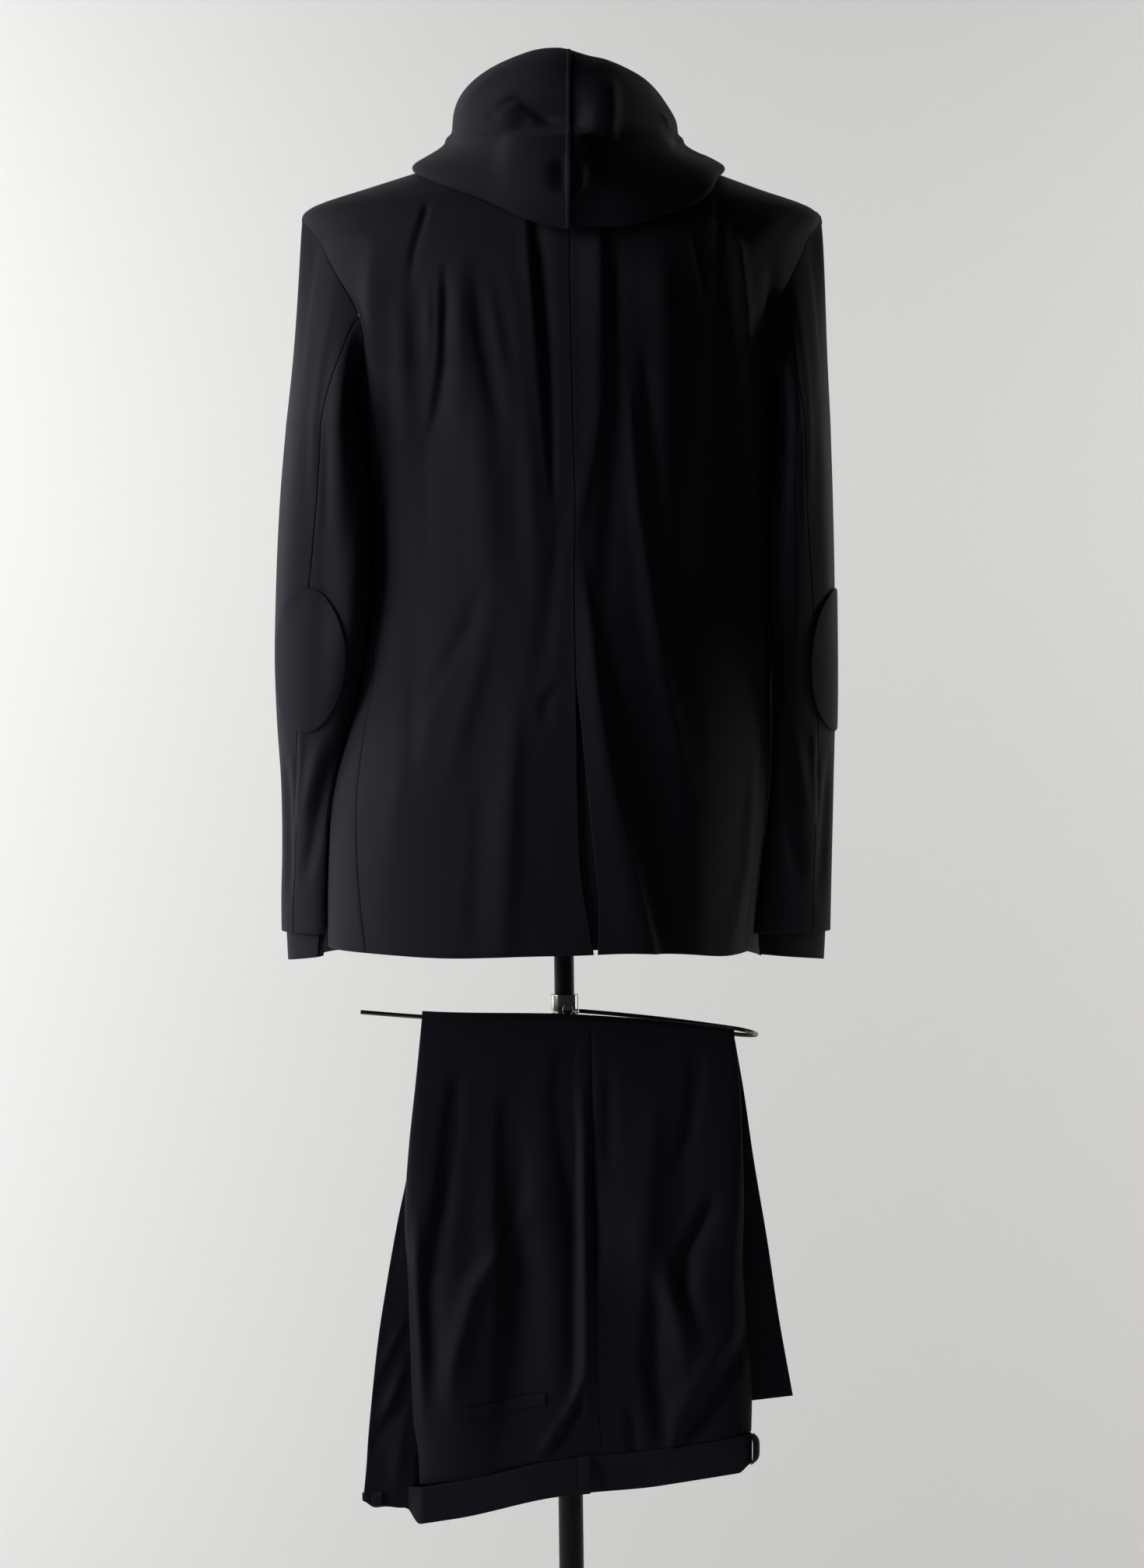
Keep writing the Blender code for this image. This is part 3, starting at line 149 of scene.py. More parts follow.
bodyFolds = table(  # u is the turn in degrees, v the height
    "u0 v0 u1 v1 width rise",
    (46.0, 1.455, 62.0, 1.240, 4.0, 0.0055),
    (37.0, 1.455, 36.0, 1.235, 4.5, -0.0030),
    (26.0, 1.440, 24.0, 1.120, 5.0, 0.0030),
    (13.5, 1.440, 11.0, 1.160, 3.0, 0.0020),
    (-31.0, 1.440, -28.0, 1.120, 4.0, -0.0035),
    (-42.0, 1.465, -60.0, 1.230, 4.0, 0.0020),
    (-52.0, 1.440, -66.0, 1.280, 3.0, -0.0045),
    (-17.0, 1.050, -24.0, 0.830, 6.0, -0.0040),
    (33.0, 1.120, 50.0, 0.900, 6.0, 0.0020),
    (20.0, 1.090, 36.0, 0.860, 6.0, -0.0015),
    (150.0, 1.330, 158.0, 1.060, 5.0, 0.0030),
    (-150.0, 1.330, -158.0, 1.060, 5.0, 0.0030),
    (132.0, 1.400, 140.0, 1.200, 4.5, -0.0035),
    (-132.0, 1.400, -140.0, 1.200, 4.5, -0.0035),
)


def ring(angle, height, grow=0.0):  # |x/half|^n + |y/depth|^n = 1, n says how square
    s, c = np.sin(np.radians(angle)), np.cos(np.radians(angle))
    n = along(bodyRows, "square", height)
    k = (np.abs(s) ** n + np.abs(c) ** n) ** (-1 / n)
    depth = np.where(c > 0, along(bodyRows, "back", height), along(bodyRows, "front", height))
    x = along(bodyRows, "middle", height) + (along(bodyRows, "half", height) + grow) * k * s
    return x, (depth + grow) * k * c


def twist(turn, height):  # the whole twist at the back, none in front
    return along(bodyRows, "turn", height) * (1 + np.cos(np.radians(turn))) / 2


hemBumps = ((0.110, 0.060, 0.0028), (-0.055, 0.035, -0.0018), (-0.145, 0.030, 0.0042))  # place, width, drop


def hemSag(x, height):  # how far the hem hangs below its plain height: a sum of bells along x
    sag = sum(drop * np.exp(-((x - middle) / width) ** 2) for middle, width, drop in hemBumps)
    return sag * (1 - smooth(0.83, 0.95, height))


def body(turn, height):  # outer surface: the twisted ring plus its folds
    turn, height = np.broadcast_arrays(np.asarray(turn, float), np.asarray(height, float))
    rise = foldRelief(bodyFolds, turn, height) + fineBody(turn, height)
    x, y = ring(turn + twist(turn, height), height, rise)
    return np.stack([x, y, height - hemSag(x, height)], axis=-1)


bodyCreases = creaseTable(
    clothUnits,
    ((1430, 151, 6, 7, 0), (1362, 150, 7, 7, 1.8), (1214, 155, 7, 8, 1.6), (1130, 160, 8, 9, 0)),
    ((1440, 141, 8, 9, 0), (1372, 141, 8, 9, -2.2), (1279, 133, 9, 10, -2.8), (1180, 127, 10, 11, -1.4),
     (1060, 132, 10, 11, 0)),
    ((1500, 127, 3, 3, 0), (1488, 130, 2.8, 4, -3), (1452, 141, 3, 5, -2.8), (1415, 146, 4, 6, 0)),
    ((1445, 111, 3, 6, 0), (1405, 112, 3.5, 8, -4.2), (1350, 115, 4, 9, -4.6), (1310, 122, 5, 9, -3.2),
     (1265, 131, 6, 9, 0)),
    ((1430, 127, 5, 3.5, 0), (1395, 126.5, 5, 3.5, 1.8), (1345, 129, 6, 3.5, 0)),
    ((1450, 97, 9, 8, 0), (1400, 97, 9, 8, 2.2), (1330, 98, 9, 9, 1.8), (1240, 106, 10, 10, 0)),
    ((1440, 84, 5, 7, 0), (1380, 80, 5, 8, -2.2), (1325, 70, 6, 8, -1.8), (1290, 60, 6, 8, 0)),
    ((1430, 73, 6, 6, 0), (1380, 64, 7, 7, 1.8), (1330, 54, 8, 8, 1.6), (1240, 50, 9, 9, 0)),
    ((1505, 34.5, 3, 8, -1), (1445, 28.7, 3.5, 9, -5.6), (1365, 22.4, 3.3, 8, -5.4),
     (1300, 18.4, 3, 6, -4), (1250, 15, 3, 4, -1.8), (1222, 13, 3, 4, 0)),
    ((1500, 42, 6, 4, 0), (1440, 36, 7, 4, 1.4), (1330, 27, 8, 4, 1.6), (1240, 20, 8, 4, 0)),
    ((1500, -26, 12, 4, 0), (1455, -28, 15, 4.5, 3.6), (1310, -28, 15, 5, 3.6),
     (1270, -21.5, 12, 6, 2.8), (1231, -13.3, 8, 6, 2), (1185, -6, 6, 6, 0)),
    ((1480, -40, 6, 8, 0), (1430, -40, 6, 9, -3), (1270, -39, 7, 10, -3.6), (1150, -34, 10, 11, -1.8),
     (1100, -33, 10, 11, 0)),
    ((1490, -81, 16, 14, 0), (1420, -83, 18, 12, 3.4), (1330, -88, 14, 10, 3), (1230, -91, 10, 9, 1.8),
     (1190, -92, 10, 9, 0)),
    ((1370, -67, 5, 7, 0), (1325, -70, 5, 7, -3), (1280, -73.5, 5, 8, -3.6), (1220, -78, 6, 9, -2.6),
     (1160, -84, 7, 10, 0)),
    ((1345, -53, 6, 5, 0), (1290, -56, 7, 5, 3), (1220, -62, 8, 6, 4.4), (1133, -75, 10, 8, 4.6),
     (1067, -86, 11, 9, 3.6), (1020, -95, 12, 10, 2.4), (950, -107, 12, 12, 0)),
    ((1512, -121, 3, 3, 0), (1498, -126.5, 3, 3.5, 2.2), (1475, -133, 3, 3, 2.6), (1440, -131, 3, 3, 0)),
    ((1478, -104, 2.5, 2.5, 0), (1455, -112, 2.5, 2.5, 1.4), (1425, -119, 2.5, 2.5, 1.4),
     (1400, -123, 2.5, 2.5, 0)),
    ((1490, -139, 4, 6, 0), (1455, -151, 6, 7, 3.6), (1400, -156, 7, 7, 5), (1300, -160.5, 7, 8, 5.2),
     (1220, -167, 7, 9, 4), (1170, -175, 8, 10, 0)),
    ((1470, -139, 6, 5, 0), (1400, -143, 7, 6, -3), (1280, -149, 8, 6, -3), (1190, -156, 8, 6, 0)),
    ((1180, -11, 6, 5, 0), (1114, -20.3, 10, 6, 4), (1067, -24.5, 12, 6, 5.8), (987, -36.4, 18, 7, 7),
     (893, -58.1, 26, 8, 7.8), (815, -74, 30, 8, 8)),
    ((1110, -36, 6, 12, 0), (1050, -40, 6, 16, -3), (960, -54, 7, 20, -4), (880, -76, 7, 22, -3),
     (815, -94, 8, 24, -1)),
    ((1010, -168, 5, 6, 0), (959, -166, 5, 6, 3), (897, -162, 6, 7, 3.6), (850, -152, 8, 8, 2.6),
     (815, -146, 10, 10, 1)),
    ((1175, 72, 8, 9, 0), (1114, 91, 8, 9, -2.2), (1067, 118, 9, 10, -2), (1030, 134, 10, 10, 0)),
    ((1140, 70, 9, 9, 0), (1085, 80, 9, 9, 1.8), (1021, 99, 10, 10, 1.8), (960, 112, 10, 10, 0)),
    ((1060, 48, 10, 9, 0), (1000, 50, 12, 9, 2.4), (900, 55, 13, 10, 2.6), (815, 59, 14, 10, 1.2)),
    ((1000, 78, 10, 12, 0), (940, 80, 10, 12, -1.8), (860, 84, 10, 12, -1.4), (815, 86, 10, 12, 0)),
    ((1180, 142, 8, 9, 0), (1120, 141, 9, 10, -2.2), (990, 141, 10, 11, -1.8), (930, 143, 10, 11, 0)),
    ((1068, 6, 4, 10, 0), (1050, 20, 6, 6, -1.6), (1020, 24, 6, 6, 0)),
    ((1240, 6, 4, 5, 0), (1180, 12, 7, 6, -1.2), (1110, 20, 10, 8, -1.4), (1040, 34, 10, 10, 0)),
)


def creaseRelief(creases, u, v):
    # each crease is a rounded ridge or trough along a bent line: its rise times a bell across it,
    # with its own width on either side, all read by v between the crease's rows
    total = np.zeros(np.broadcast(u, v).shape)
    for rows in creases:
        low, middle, left, right, rise = rows.T
        away = u - np.interp(v, low, middle)
        width = np.where(away > 0, np.interp(v, low, left), np.interp(v, low, right))
        total = total + np.interp(v, low, rise, left=0.0) * np.exp(-((away / width) ** 2))
    return total


def fineBody(turn, height):  # creases of the back, faded out towards both sides
    flatX = ring(turn + twist(turn, height), height)[0]
    back = smooth(0.10, 0.35, np.cos(np.radians(turn)))
    return creaseRelief(bodyCreases, flatX, height) * back


def bodyGap(points):  # distance from the jacket's surface, and the way out of it, by its slope
    def out(p):
        x, y, height = p[..., 0], p[..., 1], p[..., 2]
        n = along(bodyRows, "square", height)
        depth = np.where(y > 0, along(bodyRows, "back", height), along(bodyRows, "front", height))
        fromMiddle = x - along(bodyRows, "middle", height)
        across = fromMiddle / along(bodyRows, "half", height)
        angle = np.degrees(np.arctan2(across, y / depth))
        reach = np.hypot(fromMiddle, y)
        share = (np.abs(across) ** n + np.abs(y / depth) ** n) ** (1 / n)
        turn = angle - twist(angle, height)
        return reach - reach / np.maximum(share, 0.05) - foldRelief(bodyFolds, turn, height)
    step = 0.0004
    gap = out(points)
    slope = np.stack([(out(points + step * np.eye(3)[k]) - gap) / step for k in range(3)], axis=-1)
    steep = np.linalg.norm(slope, axis=-1, keepdims=True)
    return gap / steep[..., 0], slope / steep


def keepClear(points, need):  # moves points out of the jacket until they stand off as needed
    for _ in range(4):
        gap, way = bodyGap(points)
        points = points + way * np.clip(need - gap, 0, 0.02)[..., None]
    return points


def unit(v):
    return v / np.maximum(np.linalg.norm(v, axis=-1, keepdims=True), 1e-12)


def normals(surface, a, b, stepA, stepB):  # cross product of the surface's two slopes
    da = surface(a + stepA, b) - surface(a - stepA, b)
    db = surface(a, b + stepB) - surface(a, b - stepB)
    return unit(np.cross(da, db))


def bodyNormals(turn, height):
    return -normals(body, turn, height, 0.25, 0.0006)


def seamDegrees(turn, height):  # half a seam's gap as a turn
    t = np.radians(turn)
    reach = np.hypot(along(bodyRows, "half", height) * np.cos(t), suit["bodyDepth"] * np.sin(t))
    return np.degrees(suit["seamGap"] / 2 / np.maximum(reach, 0.05))


def armholeLoop(phi):  # turn and height of the armhole's edge, phi once round it from its top
    p = np.radians(phi)
    half = (suit["shoulder"] - suit["underarm"]) / 2
    turn = 90 - suit["armholeTurn"] * np.sin(p) * (1 - 0.5 * np.cos(p))
    return turn, suit["underarm"] + half + half * np.cos(p)


def armholeWidth(height):  # the same edge read by height
    half = (suit["shoulder"] - suit["underarm"]) / 2
    c = np.clip((height - suit["underarm"] - half) / half, -1, 1)
    return suit["armholeTurn"] * np.sqrt(1 - c * c) * (1 - 0.5 * c)


armholeFoot = float(armholeLoop(suit["armholeSeams"][0])[1])


def panelEdge(height, side):  # side seam, then armhole, then shoulder seam; side is +1 for the front
    low = along(seamRows, "sideFront" if side > 0 else "sideBack", height)
    high = 90 + side * armholeWidth(height)
    sewn = (height < armholeFoot) | (height > suit["shoulder"])
    edge = np.where(height < armholeFoot, low, high)
    return edge + side * np.where(sewn, seamDegrees(edge, height), 0)


def rollEdge(height):  # straight to the break, then up the lapel's roll line
    t = np.clip((height - suit["breakHeight"]) / (suit["rollTop"] - suit["breakHeight"]), 0, 1.07)
    reach = -suit["frontOverlap"] + t * (suit["rollReach"] + suit["frontOverlap"])
    return 180 - np.degrees(np.arcsin(np.clip(reach / along(bodyRows, "half", height), -0.3, 0.93)))


# ---- sleeves: a curved cap down to an oval tube; phi is 0 outside, 90 at the back, 180 inside
sleeveRows = {
    1: table(
        "at outer inner middle deep",
        (0.829, 0.270, 0.211, -0.058, 0.049),
        (0.858, 0.270, 0.210, -0.055, 0.051),
        (0.907, 0.2685, 0.206, -0.048, 0.054),
        (0.977, 0.2690, 0.198, -0.037, 0.058),
        (1.023, 0.2715, 0.192, -0.029, 0.062),
        (1.082, 0.2730, 0.186, -0.021, 0.066),
        (1.141, 0.2715, 0.181, -0.015, 0.070),
        (1.235, 0.2665, 0.182, -0.008, 0.074),
        (1.300, 0.2605, 0.190, -0.003, 0.078),
    ),
    -1: table(
        "at outer inner middle deep",
        (0.829, 0.2460, 0.160, -0.062, 0.047),
        (0.881, 0.2465, 0.166, -0.055, 0.051),
        (0.984, 0.2475, 0.176, -0.039, 0.059),
        (1.046, 0.248, 0.180, -0.029, 0.064),
        (1.113, 0.247, 0.181, -0.020, 0.070),
        (1.224, 0.244, 0.181, -0.009, 0.077),
        (1.300, 0.241, 0.187, -0.003, 0.082),
    ),
}
sleeveSeam = table(
    "at back",
    (0.829, 58.0),
    (1.020, 64.0),
    (1.150, 76.0),
    (1.330, 95.0),
    (1.420, 105.0),
    (1.500, 105.0),
)
sleeveFolds = table(  # u is phi in degrees, v the height
    "u0 v0 u1 v1 width rise",
    (110.0, 1.380, 96.0, 1.200, 16.0, 0.0040),
    (135.0, 1.330, 120.0, 1.160, 12.0, -0.0040),
    (60.0, 1.300, 50.0, 1.120, 16.0, 0.0025),
    (95.0, 1.010, 70.0, 0.930, 12.0, 0.0045),
    (118.0, 1.000, 80.0, 0.880, 12.0, -0.0045),
    (40.0, 0.990, 48.0, 0.860, 10.0, -0.0030),
    (255.0, 1.180, 240.0, 1.060, 14.0, -0.0040),
    (285.0, 1.150, 270.0, 1.020, 14.0, 0.0035),
    (320.0, 1.260, 330.0, 1.060, 16.0, -0.0030),
)
sleeveCreases = table(
    "u0 v0 u1 v1 width rise",
    (70.0, 1.020, 62.0, 0.935, 5.0, 0.0022),
    (62.0, 1.000, 56.0, 0.930, 4.0, -0.0018),
    (84.0, 1.350, 78.0, 1.230, 6.0, 0.0016),
    (100.0, 1.300, 94.0, 1.200, 5.0, -0.0018),
)
sleeveShape = {  # two values are for the left and the right sleeve
    "square": 2.4,
    "lean": 0.022,
    "squareIn": {1: 1.8, -1: 0.0},  # squarer still at the back beside the body
    "leanIn": {1: 0.015, -1: 0.0},  # and fuller there
    "capReach": 0.011,
    "capReachTop": {1: -0.006, -1: 0.0},
    "capLean": 0.05,
    "capLeanTop": {1: 0.07, -1: 0.0},
    "capFall": (0.050, 0.045),
    "standOff": 0.0028,
    "crossFront": 1.4045,  # heights where one armhole's gap would show through the other
    "crossBack": 1.3945,
    "crossHalf": 0.011,
}


def sleeveLevel(side, phi, height):  # the tube's oval, |x|^n + |y|^n = 1, with its folds
    rows = sleeveRows[side]
    outer, inner = along(rows, "outer", height), along(rows, "inner", height)
    p = np.radians(phi)
    turned = np.mod(phi, 360)
    rise = foldRelief(sleeveFolds, turned, height) + foldRelief(sleeveCreases, turned, height)
    c, s = np.cos(p), np.sin(p)
    upper = smooth(1.00, 1.12, height)
    squarer = sleeveShape["squareIn"][side] * upper * smooth(0.0, 0.6, -c) * smooth(0.05, 0.5, s)
    n = sleeveShape["square"] + squarer
    k = (np.abs(c) ** n + np.abs(s) ** n) ** (-1 / n)
    x = (outer + inner) / 2 + ((outer - inner) / 2 + rise) * k * c
    y = along(rows, "middle", height) + (along(rows, "deep", height) + rise) * k * s
    fuller = sleeveShape["leanIn"][side] * upper * smooth(0.0, 0.9, -c)
    y = y + (fuller - sleeveShape["lean"] * c) * np.clip(s, 0, 1)
    return np.stack([side * x, y, np.broadcast_to(height, x.shape)], axis=-1)


def sleeve(side):
    # run 0 to 1: a cubic Bezier from the armhole's edge, out along the body's normal, to the tube's top;
    # run 1 to 2: the tube
    def surface(phi, run):
        phi, run = np.broadcast_arrays(np.asarray(phi, float), np.asarray(run, float))
        height = suit["capEnd"] + (suit["sleeveEnd"] - suit["capEnd"]) * np.clip(run - 1, 0, 1.2)
        tube = sleeveLevel(side, phi, height)
        turn, high = armholeLoop(phi)
        edge = body(side * turn, high)
        out = bodyNormals(side * turn, high)
        step = armholeLoop(phi + 1.0)
        into = unit(np.cross(body(side * step[0], step[1]) - edge, out) * side)
        bend = np.radians(5 + 70 * (1 - np.cos(np.radians(phi))) / 2)[..., None]
        lead = np.cos(bend) * into + np.sin(bend) * out
        p = np.radians(phi)
        crossing = np.where(np.sin(p) < 0, sleeveShape["crossFront"], sleeveShape["crossBack"])
        narrow = np.exp(-(((high - crossing) / sleeveShape["crossHalf"]) ** 4))
        a = edge + into * (suit["seamGap"] * (1 - 0.9 * narrow))[..., None]
        b = a + lead * (sleeveShape["capReach"] + sleeveShape["capReachTop"][side] * np.cos(p))[..., None]
        d = sleeveLevel(side, phi, np.full_like(height, suit["capEnd"]))
        inward = sleeveShape["capLean"] + sleeveShape["capLeanTop"][side] * (1 + np.cos(p)) / 2
        lean = np.stack([-side * inward, 0 * p, 0 * p + 1.0], axis=-1)
        fall, fallTop = sleeveShape["capFall"]
        c = d + lean * (fall + fallTop * np.cos(p))[..., None]
        t = np.clip(run, 0, 1)[..., None]
        cap = (1 - t) ** 3 * a + 3 * (1 - t) ** 2 * t * b + 3 * (1 - t) * t**2 * c + t**3 * d
        points = np.where(run[..., None] < 1, cap, tube)
        return keepClear(points, sleeveShape["standOff"] * smooth(0.15, 0.55, run) - 0.05 * (run < 0.15))
    return surface


def sleeveNormals(side, surface, phi, run):
    down = surface(phi, run + 0.01) - surface(phi, np.maximum(run - 0.01, 0))
    across = surface(phi + 1.0, run) - surface(phi - 1.0, run)
    return unit(np.cross(down, across) * side)


# ---- hood: a section that turns round the neck from the centre back to both front ends
hoodRows = table(
    "at edge fold top bag lip dome recess crown",
    (0.0, 1.470, 1.553, 1.641, 0.030, 0.126, 0.110, 0.014, 0.078),
    (20.0, 1.481, 1.553, 1.640, 0.029, 0.125, 0.110, 0.014, 0.079),
    (38.0, 1.499, 1.554, 1.634, 0.026, 0.122, 0.108, 0.008, 0.080),
    (62.0, 1.517, 1.556, 1.624, 0.020, 0.118, 0.105, 0.003, 0.081),
    (90.0, 1.531, 1.562, 1.607, 0.011, 0.112, 0.100, 0.000, 0.083),
    (110.0, 1.541, 1.563, 1.596, 0.008, 0.098, 0.091, 0.000, 0.080),
    (130.0, 1.549, 1.563, 1.586, 0.005, 0.081, 0.079, 0.000, 0.0745),
)
hoodShape = {"rest": 0.0042, "standOff": 0.0032, "droop": 0.015}
hoodCreases = creaseTable(
    hoodUnits,
    ((1612, -20, 12, 5, 0), (1597, -20, 14, 5, 6), (1575, -20, 14, 4.5, 8.5), (1560, -19, 13, 4, 7),
     (1548, -18, 12, 4, 0)),
    ((1536, -3.5, 2.2, 2.5, 0), (1524, -4, 2.2, 2.5, -5), (1510, -3.5, 2.2, 2.5, -7.5),
     (1500, -3, 2.2, 2.5, 0)),
    ((1536, -9.5, 5, 3, 0), (1522, -9.5, 5, 3, 4), (1508, -9, 5, 3, 4), (1497, -8.5, 5, 3, 0)),
    ((1536, 2.4, 3.5, 2, 0), (1522, 2.6, 4, 2, -5), (1508, 2.4, 4, 2, -4.5), (1498, 2.2, 3.5, 2, 0)),
    ((1592, 23, 3, 3, 0), (1588, 28, 2.5, 3, -3), (1583, 33, 2.5, 3, -2.2), (1578, 36, 2.5, 3, 0)),
    ((1590, 26, 3, 4, 0), (1582, 22, 3.5, 5, -4), (1572, 14, 4, 7, -5), (1563, 9, 5, 8, -3),
     (1556, 6, 5, 8, 0)),
    ((1578, 43, 2, 3, 0), (1573, 39, 2, 3, -2), (1569, 35, 2, 3, 0)),
    ((1582, -56, 3, 4, 0), (1576, -62, 3, 4, 2.8), (1566, -68, 3, 4, 0)),
    ((1553, -70, 4, 5, 0), (1545, -78, 4, 5, 2.6), (1538, -84, 4, 5, 0)),
    ((1626, 30, 9, 9, 0), (1605, 46, 9, 9, 3), (1585, 60, 9, 9, 0)),
)


def bodyReach(angle, height):  # the jacket's reach from the middle in one direction
    s, c = np.abs(np.sin(np.radians(angle))), np.cos(np.radians(angle))
    depth = np.where(c > 0, along(bodyRows, "back", height), along(bodyRows, "front", height))
    n = along(bodyRows, "square", height)
    return ((s / along(bodyRows, "half", height)) ** n + (np.abs(c) / depth) ** n) ** (-1 / n)


def hoodSection(angle):  # control points out from the neck seam, round the bag and over the top
    a = np.abs(angle)
    row = {name: along(hoodRows, name, a) for name in hoodRows if name != "at"}
    droop = hoodShape["droop"] * smooth(5, 35, -angle) * (1 - smooth(46, 68, -angle))
    right, left = smooth(10, 50, -angle), smooth(15, 60, angle)
    edge = row["edge"] - droop + 0.003 * smooth(50, 80, a)
    row["top"] = row["top"] - 0.004 - 0.0075 * smooth(-8, 18, -angle)
    row["dome"] = row["dome"] - 0.006 * right * (1 - 0.75 * smooth(60, 85, -angle)) + 0.0055 * left
    plain = smooth(3, 12, -angle) * (1 - smooth(70, 95, -angle))  # no ledge right of the seam
    soft = smooth(22, 34, angle) * (1 - smooth(70, 95, angle))  # and little of it far left
    row["lip"] = row["lip"] - 0.007 * smooth(50, 75, -angle) - 0.010 * plain - 0.006 * soft
    row["recess"] = row["recess"] * (1 - plain) * (1 - 0.7 * soft)
    row["crown"] = row["crown"] - 0.004 * right
    fold, top, lip, bag, dome, crown = (row[n] for n in ("fold", "top", "lip", "bag", "dome", "crown"))
    neck, lie = suit["neck"], hoodShape["rest"]
    tall = top - fold
    points = [
        (bodyReach(a, neck) - 0.0030, neck + 0.0022 + 0 * a),
        (bodyReach(a, neck) + 0.0020, neck + 0.0047 + 0 * a),
        (bodyReach(a, (neck * 2 + edge) / 3) + lie + 0.0014, (neck * 2 + edge) / 3 + lie),
        (bodyReach(a, (neck + edge * 2) / 3) + lie, (neck + edge * 2) / 3 + lie * 0.6),
        (bodyReach(a, edge + 0.004) + lie, edge + 0.0035),
        (bodyReach(a, edge + 0.002) + lie + 0.0040, edge - 0.0035),
        (bodyReach(a, edge) + lie + 0.0085, edge + 0.0050),
        (bodyReach(a, edge) * 0.62 + lip * 0.38 + bag * 0.62, edge + (fold - edge) * 0.42),
        (lip + bag * 0.26, edge + (fold - edge) * 0.78),
        (lip + 0.0020, fold - 0.0030),
        (lip + 0.0005, fold + 0.0020),
        (dome - row["recess"], fold + tall * 0.10),
        (dome + 0.0005, fold + tall * 0.42),
        (dome - 0.0050 - 0.005 * right, fold + tall * 0.78),
        (crown + 0.0060, top - 0.0010),
        (crown - 0.0060, top + 0.0005),
        (crown - 0.0110, top - 0.0140),
        (0.0685 + 0 * a, fold + tall * 0.35),
        (0.0670 + 0 * a, fold + 0.0020),
    ]
    return np.stack([np.stack(np.broadcast_arrays(r, z), axis=-1) for r, z in points], axis=-2)


def spline(points, t):  # a uniform cubic B-spline through an open row of control points
    n = points.shape[-2]
    first, last = points[..., :1, :], points[..., -1:, :]
    before, after = 2 * first - points[..., 1:2, :], 2 * last - points[..., -2:-1, :]
    padded = np.concatenate([before, points, after], axis=-2)
    span = np.clip(t, 0, 1) * (n - 1)
    k = np.clip(np.floor(span).astype(int), 0, n - 2)
    f = (span - k)[..., None]
    p0, p1, p2, p3 = (
        np.take_along_axis(padded, np.repeat((k + i)[..., None, None], 2, axis=-1), axis=-2)[..., 0, :]
        for i in range(4)
    )
    blend = (1 - f) ** 3 * p0 + (3 * f**3 - 6 * f**2 + 4) * p1
    return (blend + (-3 * f**3 + 3 * f**2 + 3 * f + 1) * p2 + f**3 * p3) / 6


def hood(angle, run):  # the section turned to its angle, creased where it shows and clear of the jacket
    angle, run = np.broadcast_arrays(np.asarray(angle, float), np.asarray(run, float))
    flat = spline(hoodSection(angle), run)
    seen = smooth(0.34, 0.42, run) * (1 - smooth(0.74, 0.80, run))
    reach = flat[..., 0] + creaseRelief(hoodCreases, angle, flat[..., 1]) * seen
    t = np.radians(angle)
    points = np.stack([reach * np.sin(t), reach * np.cos(t), flat[..., 1]], axis=-1)
    near = smooth(0.03, 0.09, run) * (1 - smooth(0.42, 0.50, run))
    return keepClear(points, hoodShape["standOff"] * near - 0.05 * (near == 0))


# ---- trousers: two layers to each leg, over the bar's front arm and down both its sides
bar = {"front": 0.036, "bend": -0.155, "end": 0.191, "rod": 0.0020}
barRows = table(
    "at front rear",
    (-0.176, 0.7375, 0.7388),
    (-0.155, 0.7403, 0.7420),
    (-0.014, 0.7530, 0.7580),
    (0.135, 0.7565, 0.7640),
    (0.191, 0.7608, 0.7660),
)
seatRows = table(
    "at left middle right hip puff",
    (0.00, 0.135, -0.020, -0.152, 0.133, 0.0000),
    (0.12, 0.140, -0.021, -0.157, 0.139, 0.0030),
    (0.30, 0.148, -0.022, -0.160, 0.147, 0.0060),
    (0.42, 0.151, -0.023, -0.161, 0.158, 0.0115),
    (0.56, 0.148, -0.025, -0.160, 0.169, 0.0175),
    (0.66, 0.1465, -0.025, -0.162, 0.176, 0.0215),
    (0.76, 0.145, -0.0255, -0.165, 0.181, 0.0235),
    (0.86, 0.143, -0.027, -0.1682, 0.185, 0.0225),
    (0.93, 0.139, -0.029, -0.1685, 0.187, 0.0200),
    (1.00, 0.138, -0.031, -0.168, 0.190, 0.0175),
)
legRows = table(
    "at left middle right puff",
    (0.00, 0.135, -0.020, -0.152, 0.0000),
    (0.15, 0.131, -0.026, -0.161, 0.0040),
    (0.33, 0.126, -0.033, -0.170, 0.0060),
    (0.56, 0.117, -0.041, -0.183, 0.0065),
    (0.78, 0.109, -0.047, -0.194, 0.0065),
    (1.00, 0.101, -0.053, -0.207, 0.0070),
)
trouserSizes = {
    "legHem": 0.4015,
    "hemSlope": -0.12,
    "waist": 0.3525,
    "waistSlope": -0.155,
    "band": 0.034,
    "bandEnds": (0.190, -0.168),
    "bandDepth": (0.0030, 0.0163),
    "hipEdge": 0.136,
    "hipOver": 0.0052,
    "crotch": 0.55,
    "innerLay": 0.0031,
    "outerLay": 0.0049,
    "legGap": 0.00015,
}
